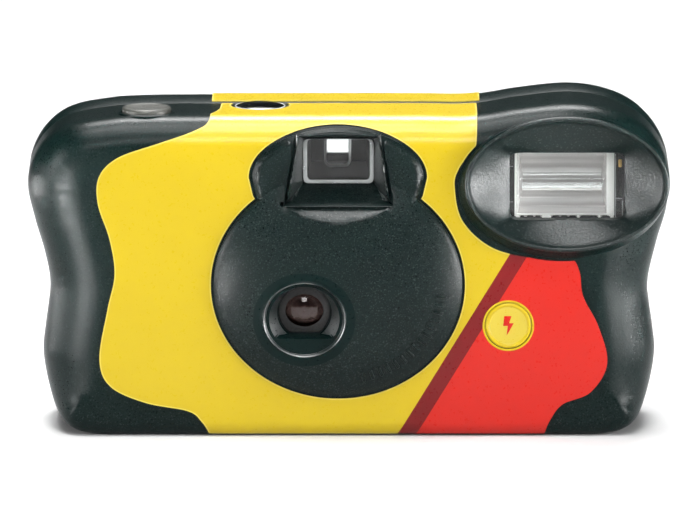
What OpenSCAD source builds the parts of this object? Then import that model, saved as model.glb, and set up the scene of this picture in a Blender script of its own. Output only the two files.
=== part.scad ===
// Single-use 35 mm film camera with built-in flash.
// Millimetres. +X is to the right seen from the front, +Y runs to the back, +Z is up.
// The origin is on the resting plane, in the middle of the width and the depth of the body.

/* [Body] */
// Width over the two hand grips
body_w = 117; // [112:0.5:126]
// Height of the flat top deck
deck_h = 58.5; // [57.5:0.5:64]
// How far the flash hump stands above the deck
hump_rise = 2.2; // [1:0.1:4]
// Depth from the front face to the back face
body_d = 34; // [33:0.5:40]
// Place of the joint between the two covers, behind the middle of the depth
seam_y = 2; // [0:0.5:4]
// Wall of the two covers
wall = 1.6; // [1.2:0.1:1.8]
// How far the waist draws in from the widest point of a grip
waist_in = 4; // [3.5:0.25:4.5]
// How far the foot draws in from the widest point of a grip
foot_in = 2.7; // [2.4:0.1:3.2]
// Radius of the front edge along the grips
grip_r = 10; // [8:0.5:10.5]
// Radius of the front edge along the top
top_r = 5.5; // [4:0.25:7]
// Radius of the lower edges
base_r = 3; // [2:0.25:4]
// Radius of the back edge along the grips
back_r = 8; // [6:0.5:9]

/* [Front panel] */
// Half width of the lens panel
panel_half_w = 22.6; // [20:0.2:23.4]
// Half height of the lens panel
panel_half_h = 20.5; // [19:0.25:21.5]
// How far the lens panel bulges
panel_bulge = 4; // [2.5:0.25:5]
// Half width of the finder arch on the panel
arch_half_w = 15.7; // [14:0.1:17]
// How far the finder arch stands proud
arch_proud = 1; // [0.6:0.1:1.4]
// Half width of the flash bezel
bezel_half_w = 18.2; // [16:0.2:18.6]
// Half height of the flash bezel
bezel_half_h = 12.1; // [11:0.1:12.6]
// How far the flash bezel stands proud
bezel_proud = 2.4; // [1.5:0.1:3.5]

/* [Lens and finder] */
// Radius of the mouth of the lens cone
lens_mouth_r = 7.1; // [6.5:0.1:7.5]
// Radius of the taking lens
lens_r = 4.2; // [3.6:0.1:4.6]
// Width of the finder's front window
finder_w = 13; // [11:0.25:14]
// Height of the finder's front window
finder_h = 8.3; // [7:0.1:8.6]
// Width of the eyepiece
eyepiece_w = 5.8; // [5:0.2:9]
// Height of the eyepiece
eyepiece_h = 5.6; // [4:0.2:7]

/* [Flash] */
// Width of the flash window
flash_w = 21; // [18:0.2:22]
// Width of the flash reflector
reflector_w = 16.6; // [14:0.2:17.4]
// Height of the flash window
flash_h = 12.4; // [10:0.2:13.5]
// Diameter of the round cell
battery_d = 14.2; // [10.5:0.1:14.4]
// Length of the round cell
battery_l = 49.5; // [44:0.5:50]
// Diameter of the storage capacitor
capacitor_d = 12; // [9:0.25:12.2]
// Length of the storage capacitor
capacitor_l = 26; // [20:1:28]

/* [Film] */
// Diameter of the film cassette
cassette_d = 25; // [24.5:0.1:25.4]
// Height of the cassette's shell
cassette_h = 40; // [38:0.5:40.5]
// Width of the film
film_w = 35; // [34:0.1:35]
// Thickness of the film strip
film_t = 0.15; // [0.12:0.01:0.2]
// Width of one picture
frame_w = 36; // [30:0.5:36]
// Height of one picture
frame_h = 24; // [18:0.5:24]
// Radius of the roll of unexposed film
roll_r = 9.2; // [7:0.1:9.4]
// Teeth on the sprocket, one turn for each picture
sprocket_teeth = 8; // [8:1:8]

/* [Controls] */
// Radius of the shutter button
button_r = 4.5; // [3.5:0.1:5]
// How far the button stands above the deck
button_proud = 1; // [0.8:0.1:2]
// Travel of the shutter button
button_travel = 1.2; // [0.8:0.1:1.4]
// Radius of the advance wheel
wheel_r = 15.6; // [15:0.1:15.8]
// Thickness of the advance wheel
wheel_t = 4.4; // [3:0.1:4.6]
// Ridges round the advance wheel
wheel_ridges = 60; // [40:2:72]
// Radius of the flash charge button
charge_r = 4.2; // [3:0.1:4.4]
// Travel of the flash charge button
charge_travel = 0.8; // [0.4:0.1:1]

/* [Clearances] */
// Running clearance on a radius
run_gap = 0.06; // [0.03:0.01:0.1]
// Gap between pieces that pass each other
pass_gap = 0.3; // [0.2:0.05:0.5]

/* [Hidden] */
$fn = 48;

// Places worked out from the sizes above
half_w = body_w / 2;
front_y = -body_d / 2;
back_y = body_d / 2;
in_front_y = front_y + wall;
in_back_y = back_y - wall;
hump_h = deck_h + hump_rise;
bulge_z = deck_h - 13.5;
waist_z = 27;
foot_z = 14.5;
eps = 0.01;
skin_gap = 0.02;
label_t = 0.22;
lens_x = -8.1;
lens_z = 23;
panel_x = -2;
panel_z = panel_half_h + 7.6;
arch_z = deck_h - 10.6;
arch_half_h = 9;
finder_x = panel_x + 0.1;
finder_z = arch_z + 2.2;
finder_sill_z = finder_z - 6.9;
bezel_x = half_w - bezel_half_w;
bezel_z = deck_h - bezel_half_h + 0.1;
flash_x = bezel_x - 0.6;
reflector_x = flash_x - 1;
flash_z = bezel_z - 0.6;
film_y = back_y - 6;
cassette_r = cassette_d / 2;
cassette_x = lens_x - frame_w / 2 - cassette_r + 0.1;
cassette_y = in_back_y - cassette_r - 0.6;
cassette_z = lens_z - cassette_h / 2;
deck_z = cassette_z + cassette_h + 0.8;
deck_t = 1.4;
deck_top = deck_z + deck_t;
wheel_z = deck_top + 0.4;
spool_r = 5.5;
hub_r = 4;
roll_x = lens_x + frame_w / 2 + roll_r + 2;
roll_y = film_y - roll_r - pass_gap;
supply_r = 4;
sprocket_r = sprocket_teeth * 4.75 / 2 / PI;
sprocket_x = lens_x - 8.5;
sprocket_y = film_y - sprocket_r;
sprocket_z = lens_z + film_w / 2 - 3.4;
shaft_r = 2;
counter_r = 7.6;
counter_x = sprocket_x - 5;
counter_y = sprocket_y - 8;
counter_t = 1.2;
counter_z = deck_h - wall - 1.2 - counter_t;
window_x = counter_x + 5.4;
window_y = counter_y + 1.6;
window_r = 4.6;
button_x = cassette_x + 1.7;
button_y = front_y + 9;
charge_x = 29;
charge_z = 20.6;
battery_r = battery_d / 2;
battery_x = 42.5;
battery_y = in_back_y - battery_r - 1;
battery_z = 3.2;
capacitor_r = capacitor_d / 2;
board_t = 1.2;
board_y = in_front_y + 2 + charge_travel;
board_back_y = board_y + board_t;
capacitor_x = roll_x + 16.2;
capacitor_y = board_back_y + capacitor_r + 0.3;
capacitor_z = 5;
ready_x = 13;
ready_z = finder_z;
ready_r = 1.6;
lens_board_y = front_y + 6.4;
blade_t = 0.4;
pivot_r = 1.2;

// Closed smooth curve through points, with a fixed count of steps in each span
function span(a, b, c, d, t) = 0.5 * ((2 * b) + (c - a) * t + (2 * a - 5 * b + 4 * c - d) * t * t
    + (3 * b - a - 3 * c + d) * t * t * t);
function closed_curve(p, steps) = let (n = len(p))
    [for (i = [0 : n - 1]) for (k = [0 : steps - 1])
        span(p[(i + n - 1) % n], p[i], p[(i + 1) % n], p[(i + 2) % n], k / steps)];

// Outline of the body seen from the front, from the left foot clockwise
body_points = [
    [-(half_w - 22), 0], [-(half_w - 14.5), 0], [-(half_w - 9.3), 0.7], [-(half_w - 5.8), 3.2],
    [-(half_w - 3.8), 8], [-(half_w - foot_in), foot_z], [-(half_w - waist_in * 0.84), waist_z - 6.5],
    [-(half_w - waist_in), waist_z], [-(half_w - waist_in * 0.75), waist_z + 5.8],
    [-(half_w - 1.3), bulge_z - 6.3], [-half_w, bulge_z - 0.3], [-(half_w - 0.7), bulge_z + 4.3],
    [-(half_w - 3.2), deck_h - 5.1], [-(half_w - 7.2), deck_h - 2.2], [-(half_w - 13), deck_h - 0.8],
    [-(half_w - 22), deck_h - 0.1], [-12, deck_h], [12, deck_h], [22, deck_h],
    [31, deck_h + hump_rise * 0.62], [40, hump_h], [half_w - 11.5, deck_h + hump_rise * 0.55],
    [half_w - 6, deck_h - 1.4], [half_w - 2, deck_h - 5.8], [half_w - 0.1, bulge_z + 2.2],
    [half_w - 0.6, bulge_z - 4], [half_w - 2.4, bulge_z - 10.4], [half_w - waist_in, waist_z],
    [half_w - waist_in * 0.84, waist_z - 6.5], [half_w - foot_in, foot_z], [half_w - 3.8, 8],
    [half_w - 5.8, 3.2], [half_w - 9.3, 0.7], [half_w - 14.5, 0], [half_w - 22, 0], [0, 0]];
outline_steps = 4;
outline = [for (p = closed_curve(body_points, outline_steps)) [p.x, max(0, p.y)]];
outline_n = len(outline);
function turned(t) = [-t.y, t.x] / norm(t);
outline_out = [for (i = [0 : outline_n - 1])
    turned(outline[(i + 1) % outline_n] - outline[(i + outline_n - 1) % outline_n])];
function edge_radius(n, side) = n.y > 0 ? side * n.x * n.x + top_r * n.y * n.y
    : base_r + (side - base_r) * pow(abs(n.x), 6);

// One ring of a rounded cover: at face_y the cover is flat, and turn runs from 0 at the wall to 90
// at the face. grow moves the whole surface outwards, and face_sign is -1 for the front, 1 for the back.
function cover_ring(side, face_y, face_sign, grow, turn) = [for (i = [0 : outline_n - 1])
    let (n = outline_out[i], r = edge_radius(n, side), rg = max(0.4, r + grow),
        inset = rg * (1 - cos(turn)) - grow, p = outline[i] - n * inset)
    [p.x, face_y + face_sign * (grow - rg * (1 - sin(turn))), p.y]];
function seam_ring(grow, y) = [for (i = [0 : outline_n - 1])
    let (p = outline[i] + outline_out[i] * grow) [p.x, y, p.y]];
turns_out = [90, 72, 54, 36, 18, 0];

// Closed solid through rings of equal length, each end closed by triangles to its middle point
function middle(ring) = [for (v = ring) 1] * ring / len(ring);
module skin(rings, flip) {
    n = len(rings[0]);
    m = len(rings);
    points = concat([for (r = rings) each r], [middle(rings[0]), middle(rings[m - 1])]);
    bands = [for (i = [0 : m - 2]) for (j = [0 : n - 1])
        let (a = i * n + j, b = i * n + (j + 1) % n, c = b + n, d = a + n)
        each [[a, b, c], [a, c, d]]];
    ends = [for (j = [0 : n - 1]) let (k = (j + 1) % n, last = (m - 1) * n)
        each [[k, j, m * n], [last + j, last + k, m * n + 1]]];
    faces = concat(bands, ends);
    polyhedron(points, flip ? [for (f = faces) [f[2], f[1], f[0]]] : faces, convexity = 8);
}

// Shell between two offsets of a cover's surface, from its face to end_y
module cover_shell(side, face_y, face_sign, grow_out, grow_in, end_y, turns_in = [0, 30, 60, 90]) {
    rings = concat(
        [for (t = turns_out) cover_ring(side, face_y, face_sign, grow_out, t)],
        [seam_ring(grow_out, end_y), seam_ring(grow_in, end_y)],
        [for (t = turns_in) cover_ring(side, face_y, face_sign, grow_in, t)]);
    skin(rings, face_sign < 0);
}

// Shapes drawn in the front view and carried along Y
module along_y(y, length) translate([0, y + length, 0]) rotate([90, 0, 0]) linear_extrude(length) children();
module disc_y(x, y, z, r, length)
    translate([x, y + length, z]) rotate([90, 0, 0]) cylinder(r = r, h = length);
module box(x, y, z, dx, dy, dz) translate([x - dx / 2, y, z - dz / 2]) cube([dx, dy, dz]);
module disc_z(x, y, z, r, length) translate([x, y, z]) cylinder(r = r, h = length);
function ellipse_points(a, b, n) = [for (i = [0 : n - 1]) [a * cos(360 * i / n), b * sin(360 * i / n)]];
module arch_shape(grow) translate([panel_x, arch_z])
    polygon(concat([for (t = [0 : 7.5 : 180]) [(arch_half_w + grow) * cos(t), (arch_half_h + grow) * sin(t)]],
        [[-arch_half_w + 0.8 - grow, -3.4], [-arch_half_w + 3, -8], [arch_half_w - 3, -8],
         [arch_half_w - 0.8 + grow, -3.4]]));
module panel_shape(grow) {
    translate([panel_x, panel_z]) 
        polygon(ellipse_points(panel_half_w + grow, panel_half_h + grow, 96));
    arch_shape(grow);
}
module bezel_shape(grow) translate([bezel_x, bezel_z])
    polygon(ellipse_points(bezel_half_w + grow, bezel_half_h + grow, 60));
module bezel_foot(grow) translate([-1.4, -0.6]) bezel_shape(0.8 + grow);

// Bulge of the lens panel: ellipses that close in towards its middle
panel_rim = 0.4;
function panel_ring(inset, t, y) = [for (p = ellipse_points(panel_half_w - inset, panel_half_h - inset, 48))
    [panel_x + p.x * cos(t), y, panel_z + p.y * cos(t)]];
module panel_dome(rise, inset) skin(concat([panel_ring(inset, 0, front_y + wall / 2)],
    [for (t = [0 : 12 : 84]) panel_ring(inset, t, front_y - panel_rim - (rise - panel_rim) * sin(t))]), true);

// Recess of the finder in front of its window, wider below than above
finder_back_y = front_y + 5;
module finder_recess() {
    low = finder_w / 2 + 3.2;
    high = finder_w / 2 + 1;
    mouth_top = finder_z + finder_h / 2 + 1.4;
    hull() {
        along_y(front_y - arch_proud - eps, eps) translate([finder_x, 0])
            polygon([[-low, finder_sill_z], [low, finder_sill_z], [high, mouth_top], [-high, mouth_top]]);
        along_y(finder_back_y, eps) translate([finder_x, finder_z])
            square([finder_w, finder_h], center = true);
    }
    box(finder_x, finder_back_y - 0.1, finder_z, finder_w, 4, finder_h);
}
// Sloping shelf that the finder's recess leaves across the top of the bulge
module finder_shelf() {
    reach = panel_bulge + 1;
    translate([panel_x - panel_half_w, 0, 0]) rotate([90, 0, 90]) linear_extrude(2 * panel_half_w)
        polygon([[front_y - arch_proud, finder_sill_z], [front_y - arch_proud - reach, finder_sill_z - reach],
            [front_y - arch_proud - reach, hump_h], [front_y - arch_proud, hump_h]]);
}
bezel_rim = 1.4;
bowl_y = front_y + 3.6;
bezel_depth = bezel_proud + 7;
module flash_bowl() {
    hull() {
        along_y(front_y - bezel_proud - eps, eps) bezel_shape(-bezel_rim);
        along_y(bowl_y, eps) translate([flash_x, flash_z]) square([flash_w, flash_h], center = true);
    }
    box(flash_x, bowl_y - 0.1, flash_z, flash_w, 4, flash_h);
}
// Lens recess: a shallow round seat, then a cone to the lens with a flat sill across its lower part
lens_cone_y = front_y + 1.8;
lens_throat_r = lens_r + 0.6;
lens_seat_y = front_y - panel_bulge + 1.5;
lens_sill = 4;
module lens_recess() {
    cone_h = lens_cone_y - lens_seat_y;
    disc_y(lens_x, lens_seat_y - 5, lens_z, lens_mouth_r, 5);
    intersection() {
        translate([lens_x, lens_cone_y, lens_z]) rotate([90, 0, 0]) rotate_extrude()
            polygon([[0, -3], [lens_throat_r, -3], [lens_throat_r, 0], [lens_mouth_r - 0.7, cone_h],
                [lens_mouth_r - 0.7, cone_h + 1], [0, cone_h + 1]]);
        translate([lens_x - 10, lens_seat_y - 2, lens_z - lens_sill]) cube([20, 20, 20]);
    }
}
// Counter window, which lies across the joint of the covers
window_seat_r = window_r - 0.8;
module window_holes(gap) {
    disc_z(window_x, window_y, deck_h - 6, window_seat_r + gap, 8);
    disc_z(window_x, window_y, deck_h - 0.8, window_r + gap, 4);
}
// Bottom door under the cassette: the piece of both covers inside this block, hinged along its front edge
hinge_y = cassette_y - cassette_r - 1.4;
hinge_z = wall / 2;
hinge_r = wall / 2;
pin_r = 0.45;
pin_l = 1;
door_left_x = cassette_x - cassette_r - 0.5;
door_right_x = cassette_x + cassette_r + 0.5;
knuckle_x = -(half_w - 14);
door_back_y = cassette_y + cassette_r + 0.4;
door_top_z = cassette_z + 0.4;
module door_block(gap, front_gap) {
    lug_y = hinge_y + 1.4;
    translate([door_left_x - gap, lug_y - gap, -1])
        cube([door_right_x - door_left_x + 2 * gap, door_back_y - lug_y + 2 * gap, door_top_z + 1 + gap]);
    translate([knuckle_x - gap, hinge_y - front_gap, -1])
        cube([door_right_x - knuckle_x + 2 * gap, 2 + front_gap, door_top_z + 1 + gap]);
}
module along_x(x, y, z, r, length) translate([x, y, z]) rotate([0, 90, 0]) cylinder(r = r, h = length);
module hinge_pin(grow)
    along_x(knuckle_x - pin_l, hinge_y, hinge_z, pin_r + grow, door_right_x - knuckle_x + 2 * pin_l);
module cassette_pocket()
    disc_z(cassette_x, cassette_y, cassette_z - pass_gap, cassette_r + pass_gap, cassette_h);
module cover_cuts() {
    window_holes(0.05);
    door_block(pass_gap, hinge_r + 0.5);
    hinge_pin(run_gap);
    cassette_pocket();
}

module front_cover() color("#1a2524") difference() {
    union() {
        cover_shell(grip_r, front_y, -1, 0, -wall, seam_y);
        difference() {
            panel_dome(panel_bulge, 0);
            finder_shelf();
        }
        along_y(front_y - arch_proud, arch_proud + 5.2) arch_shape(0);
        hull() {
            along_y(front_y - bezel_proud, 0.6) bezel_shape(0);
            along_y(front_y - 0.2, bezel_depth - bezel_proud) bezel_foot(0);
        }
    }
    intersection() {
        translate([0, wall, 0]) panel_dome(panel_bulge, wall);
        translate([panel_x - panel_half_w, front_y - 10, 0]) cube([2 * panel_half_w, 20, arch_z - 8]);
    }
    finder_recess();
    flash_bowl();
    along_y(bowl_y + 1.2, bezel_depth) bezel_foot(-wall);
    lens_recess();
    disc_z(button_x, button_y, deck_h - 5, button_r + pass_gap / 2, 10);
    disc_y(charge_x, front_y - 2, charge_z, charge_r + pass_gap / 2, 6);
    cover_cuts();
}

wheel_slot_w = 2 * sqrt(pow(wheel_r + 1, 2) - pow(in_back_y - cassette_y, 2)) + 1;
rib_t = 1.2;
module rear_cover() color("#1a2524") {
    difference() {
        cover_shell(back_r, back_y, 1, 0, -wall, seam_y);
        box(finder_x, in_back_y - 2, finder_z, eyepiece_w, 6, eyepiece_h);
        box(cassette_x, in_back_y - 3, wheel_z + wheel_t / 2, wheel_slot_w, 8, wheel_t + 2 * pass_gap);
        disc_y(ready_x, in_back_y - 2, ready_z, ready_r + run_gap, 6);
        cover_cuts();
    }
    for (side = [-1, 1])
        box(lens_x, film_y + film_t + pass_gap, lens_z + side * (film_w / 2 - 1), frame_w,
            in_back_y - film_y - film_t - pass_gap + 0.4, rib_t);
}

module film_door() color("#1a2524") {
    difference() {
        intersection() {
            union() {
                cover_shell(grip_r, front_y, -1, 0, -wall, seam_y + eps);
                cover_shell(back_r, back_y, 1, 0, -wall, seam_y - eps);
            }
            door_block(0, 0);
        }
        cassette_pocket();
    }
    along_x(knuckle_x, hinge_y, hinge_z, hinge_r, door_right_x - knuckle_x);
    hinge_pin(0);
}

// Outline of the front label, from its upper left corner round the left side
label_points = [
    [-25, deck_h + 9], [-25, deck_h + 3], [-25.4, deck_h - 0.5], [-28.1, deck_h - 2.2], [-35, deck_h - 4.5],
    [-42, deck_h - 7], [-45.4, deck_h - 10.5], [-45.6, deck_h - 15.5], [-43.5, 36.5], [-42.6, 30],
    [-43.9, 23.6], [-45.4, 14.4], [-43.4, 9.3], [-37, 6.3], [-29.4, 4.8], [-26.9, 2.9], [-25.4, 0.2],
    [-24.6, -4], [-24.6, -9], [35, -9], [35, -4], [35.6, 0.4], [36.8, 3.4], [39, 6.1], [44, 8.3],
    [47, 13.6], [45.4, 20.4], [42.6, 26], [41.9, 30.6], [40, 33.2], [34, 33], [26, 35], [20.6, 40],
    [19.2, 46.4], [19.9, 49.4], [21.2, 51.3], [22.7, 52.8], [23.2, 55], [23.3, deck_h + 3],
    [23.3, deck_h + 9]];
module label_shape() polygon(closed_curve(label_points, 4));
label_edge = 1.4;
module label_sheet(side, face_y, face_sign) cover_shell(side, face_y, face_sign, label_t, skin_gap,
    seam_y + face_sign * label_edge, [0, 18, 36, 54, 72, 90]);
module front_label() color("gold") difference() {
    intersection() {
        label_sheet(grip_r, front_y, -1);
        along_y(front_y - 3, body_d) label_shape();
        translate([-half_w, -body_d, 0.4]) cube([body_w, 2 * body_d, hump_h + 4]);
    }
    along_y(front_y - 6, 14) panel_shape(0.5);
    along_y(front_y - 6, 14) bezel_foot(0.5);
    disc_y(charge_x, front_y - 2, charge_z, charge_r + pass_gap / 2, 4);
    disc_z(window_x, window_y, deck_h - 3, window_r + 0.8, 8);
}
rear_label_points = [[-25, deck_h + 9], [-25, deck_h + 3], [-25.4, 45], [-28, 38], [-40, 33], [-41, 22],
    [-38, 9], [-27, 5], [-25, -3], [-25, -9], [34, -9], [34, -3], [36, 5], [43, 9], [44, 20], [42, 36],
    [36, 48], [26, 54], [23.4, deck_h + 3], [23.4, deck_h + 9]];
module rear_label() color("gold") difference() {
    intersection() {
        label_sheet(back_r, back_y, 1);
        along_y(seam_y, body_d) polygon(closed_curve(rear_label_points, 4));
        translate([-half_w, -body_d, 0.4]) cube([body_w, 2 * body_d, hump_h + 4]);
    }
    box(finder_x, back_y - 3, finder_z, eyepiece_w + 3, 6, eyepiece_h + 3);
    disc_y(ready_x, back_y - 3, ready_z, ready_r + 0.6, 6);
    disc_z(window_x, window_y, deck_h - 3, window_r + 0.8, 8);
}

// Chassis: film gate, light tunnel, top deck, finder tunnel and the two film chambers
gate_t = 1.6;
deck_front_y = front_y + 7.2;
deck_back_y = in_back_y - 2;
finder_wall = 0.9;
finder_tube_y = front_y + 6.8;
eyepiece_y = in_back_y - 2.7;
pivot_x = lens_x + 6;
pivot_z = lens_z + 6.5;
blade_y = lens_board_y - 0.7;
lever_x = lens_x + 3.6;
lever_y = front_y + 14;
lever_z = deck_z - 3.8;
lever_t = 1.4;
lever_reach = 7.6;
meter_x = sprocket_x - 3.9;
meter_y = deck_front_y + 1.2;
meter_z = wheel_z + wheel_t + 1;
meter_t = 1.2;
chamber_t = 1;
module gate_slice(y, w, h) along_y(y, eps) translate([lens_x, lens_z]) square([w, h], center = true);
module chamber_wall(x, y, r, z, h, stop_y) intersection() {
    difference() {
        disc_z(x, y, z, r + chamber_t, h);
        disc_z(x, y, z - 1, r, h + 2);
    }
    translate([x - r - 5, y - r - 5, z]) cube([2 * r + 10, stop_y - y + r + 5, h]);
}
module chassis() color("#2a2f31") difference() {
    union() {
        translate([lens_x - frame_w / 2 - 1.2, film_y - gate_t, cassette_z + 1])
            cube([frame_w + 2.4, gate_t, deck_z - cassette_z - 1 + eps]);
        hull() {
            gate_slice(film_y - gate_t, frame_w + 2.4, frame_h + 2.4);
            gate_slice(lens_board_y, 13, 11);
        }
        box(lens_x, lens_board_y, lens_z, 17, 1.4, 17);
        translate([cassette_x - 9, deck_front_y, deck_z])
            cube([roll_x - cassette_x + 17, deck_back_y - deck_front_y, deck_t]);
        translate([finder_x - finder_w / 2 - finder_wall, finder_tube_y, deck_top - eps])
            cube([finder_w + 2 * finder_wall, eyepiece_y - finder_tube_y,
                finder_z + finder_h / 2 + finder_wall - deck_top]);
        chamber_wall(cassette_x, cassette_y, cassette_r + 0.4, cassette_z + 2,
            deck_z - cassette_z - 2 + eps, cassette_y - 4);
        chamber_wall(roll_x, roll_y, roll_r + 0.7, cassette_z + 1,
            deck_z - cassette_z - 1 + eps, roll_y + 6);
        disc_z(counter_x, counter_y, deck_top - eps, pivot_r, counter_z + counter_t - deck_top);
        disc_z(meter_x, meter_y, deck_top - eps, pivot_r, meter_z + meter_t - deck_top + 0.6);
        disc_z(lever_x, lever_y, lever_z - 0.5, pivot_r, deck_z - lever_z + 0.5 + eps);
        disc_y(pivot_x, lens_board_y - 1.2, pivot_z, 0.8, 1.2 + eps);
    }
    hull() {
        gate_slice(film_y, frame_w, frame_h);
        gate_slice(lens_board_y + 1.4, 10, 8);
    }
    disc_y(lens_x, lens_board_y - 1, lens_z, 2.4, 4);
    box(finder_x, finder_tube_y - 1, finder_z, finder_w, body_d, finder_h);
    disc_z(cassette_x, cassette_y, deck_z - 1, hub_r + 0.3, 4);
    disc_z(sprocket_x, sprocket_y, deck_z - 1, shaft_r + run_gap, 4);
    disc_z(roll_x, roll_y, deck_z - 1, shaft_r + run_gap, 4);
    disc_z(sprocket_x, sprocket_y, sprocket_z - 0.85, sprocket_tip_r + 0.4, 2);
}

// Taking lens in its cup, with the stop plate behind it and the shutter blade between cup and lens board
cup_y = lens_cone_y + 0.1;
lens_t = 2.1;
module taking_lens() color("#c9b9c4", 0.5) translate([lens_x, cup_y + lens_t, lens_z]) rotate([90, 0, 0])
    rotate_extrude() polygon(concat([[0, 0.5], [lens_r - 0.9, 0]], [[lens_r, 0], [lens_r, 0.9]],
        [for (t = [5 : -1 : 0]) [lens_r * 0.95 * t / 5, 0.9 + (lens_t - 0.9) * (1 - t * t / 25)]]));
module lens_retainer() color("#17191b") {
    difference() {
        disc_y(lens_x, cup_y, lens_z, lens_r + 1.7, 3.2);
        disc_y(lens_x, cup_y - 1, lens_z, lens_r + run_gap, 1 + lens_t);
        disc_y(lens_x, cup_y, lens_z, lens_r - 1, 4);
    }
    for (side = [-1, 1])
        disc_y(lens_x + side * 2.7, cup_y + 3.1, lens_z - 4.6, 0.8, lens_board_y - cup_y - 3.1);
}
module aperture_plate() color("#101112") difference() {
    disc_y(lens_x, cup_y + lens_t + 0.1, lens_z, lens_r - 1.05, 0.3);
    disc_y(lens_x, cup_y, lens_z, 1.4, 4);
}
module shutter_blade() color("#3b3f42") along_y(blade_y, blade_t)
    difference() {
        union() {
            translate([lens_x, lens_z]) circle(r = 3.4);
            translate([pivot_x, pivot_z]) circle(r = 2);
            polygon([[lens_x - 1.6, lens_z + 2.4], [lens_x + 2.6, lens_z - 1.6],
                [pivot_x + 1.5, pivot_z - 1], [pivot_x - 1, pivot_z + 1.5]]);
            translate([pivot_x - 0.9, pivot_z]) square([1.8, lever_z - 0.4 - pivot_z]);
        }
        translate([pivot_x, pivot_z]) circle(r = 0.8 + run_gap);
    }
module drive_lever() color("#d9d7cf") translate([lever_x, lever_y, lever_z]) difference() {
    union() {
        cylinder(r = 2.2, h = lever_t);
        translate([-0.8, -lever_reach, 0]) cube([1.6, lever_reach, lever_t]);
        translate([0, -lever_reach, 0]) cylinder(r = 0.8, h = lever_t);
        rotate([0, 0, 144]) translate([0, -0.8, 0]) cube([9.2, 1.6, lever_t]);
    }
    translate([0, 0, -1]) cylinder(r = pivot_r + run_gap, h = 4);
}

// Torsion spring on the drive lever's post: a round wire swept along a helix
wire_r = 0.2;
coil_r = pivot_r + 0.2 + wire_r;
coil_pitch = 0.9;
coil_turns = 1.75;
coil_z = lever_z + lever_t + 0.1 + wire_r;
function helix(t) = [coil_r * cos(360 * t), coil_r * sin(360 * t), coil_pitch * t];
function wire_ring(t) = let (out = [cos(360 * t), sin(360 * t), 0])
    [for (k = [0 : 5]) helix(t) + wire_r * (cos(60 * k) * out + sin(60 * k) * [0, 0, 1])];
module drive_spring() color("#b9bcc0") translate([lever_x, lever_y, coil_z])
    skin([for (i = [0 : 8 * coil_turns]) wire_ring(i / 8)], false);
echo(spring_gap = coil_pitch - 2 * wire_r);

module metering_lever() color("#d9d7cf") translate([meter_x, meter_y, meter_z]) difference() {
    union() {
        cylinder(r = 2.2, h = meter_t);
        translate([button_x + 2.9 - meter_x, -0.9, 0]) cube([meter_x - button_x - 2.9, 1.8, meter_t]);
        rotate([0, 0, 60]) translate([0, -0.7, 0]) cube([4, 1.4, meter_t]);
    }
    translate([0, 0, -1]) cylinder(r = pivot_r + run_gap, h = 4);
}

// Finder lenses: a hollow-ground front window and a small eyepiece
module finder_front_lens() color("#dfe9ee", 0.35) difference() {
    box(finder_x, finder_back_y + 0.25, finder_z, finder_w + 1.2, 1.5, finder_h + 1);
    disc_z(finder_x, finder_back_y - 38.9, finder_z - finder_h, 40, 2 * finder_h, $fn = 360);
}
module finder_eyepiece() color("#dfe9ee", 0.35)
    box(finder_x, eyepiece_y + 0.05, finder_z, eyepiece_w + 2, 1.2, eyepiece_h + 2);

// Controls on the top and the front
stem_z = wheel_z + wheel_t + button_travel + 1.4;
flange_drop = 0.9;
flange_t = 1.2;
deck_in = deck_h - wall;
module shutter_button() color("#b8b6ae") translate([button_x, button_y, 0]) {
    flange_top = deck_in - flange_drop;
    rotate_extrude() polygon(concat(
        [[0, flange_top - flange_t], [button_r + 1.1, flange_top - flange_t], [button_r + 1.1, flange_top],
         [button_r, flange_top], [button_r, deck_h + button_proud * 0.55]],
        [for (t = [80 : -10 : 0]) [button_r * sin(t), deck_h + button_proud * (0.55 + 0.45 * cos(t))]]));
    translate([0, 0, stem_z]) cylinder(r = 2, h = flange_top - flange_t + 0.1 - stem_z);
}
module charge_button() color("gold") translate([charge_x, 0, charge_z]) rotate([90, 0, 0]) rotate_extrude()
    polygon([[0, -in_front_y - 1.2], [charge_r + 1, -in_front_y - 1.2], [charge_r + 1, -in_front_y - 0.3],
        [charge_r, -in_front_y - 0.3], [charge_r, -front_y], [charge_r - 0.3, -front_y + 0.3],
        [charge_r - 1.1, -front_y + 0.3], [charge_r - 1.2, -front_y + 0.2], [0, -front_y + 0.2]]);
module charge_contact() color("#c9a24a") disc_y(charge_x, in_front_y + 1.2, charge_z, 3, 0.3);
module counter_window() color("#dfe9ee", 0.35) translate([window_x, window_y, 0]) rotate_extrude()
    polygon(concat([[0, deck_in - 0.4], [window_seat_r, deck_in - 0.4], [window_seat_r, deck_h - 0.8],
        [window_r, deck_h - 0.8]],
        [for (t = [90 : -10 : 0]) [window_r * sin(t), deck_h - 0.2 + 0.9 * cos(t)]]));
counter_teeth = 28;
module counter_disc() color("white") translate([counter_x, counter_y, counter_z]) difference() {
    linear_extrude(counter_t) polygon([for (i = [0 : counter_teeth - 1]) for (k = [0, 0.35, 0.5, 0.85])
        let (a = 360 * (i + k) / counter_teeth, r = counter_r - (k < 0.4 ? 0 : 0.5))
            [r * cos(a), r * sin(a)]]);
    translate([0, 0, -1]) cylinder(r = pivot_r + run_gap, h = 4);
}
module advance_wheel() color("#22282a") translate([cassette_x, cassette_y, wheel_z]) linear_extrude(wheel_t)
    polygon([for (i = [0 : wheel_ridges - 1]) for (k = [0, 0.45, 0.55, 0.9])
        let (a = 360 * (i + k) / wheel_ridges, r = wheel_r - (k < 0.5 ? 0 : 0.5)) [r * cos(a), r * sin(a)]]);
module ratchet_pawl() color("#2a2f31") translate([cassette_x, cassette_y, deck_top]) rotate([0, 0, -35])
    translate([wheel_r + pass_gap, -0.7, 0]) cube([2.6, 1.4, 2]);

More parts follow.
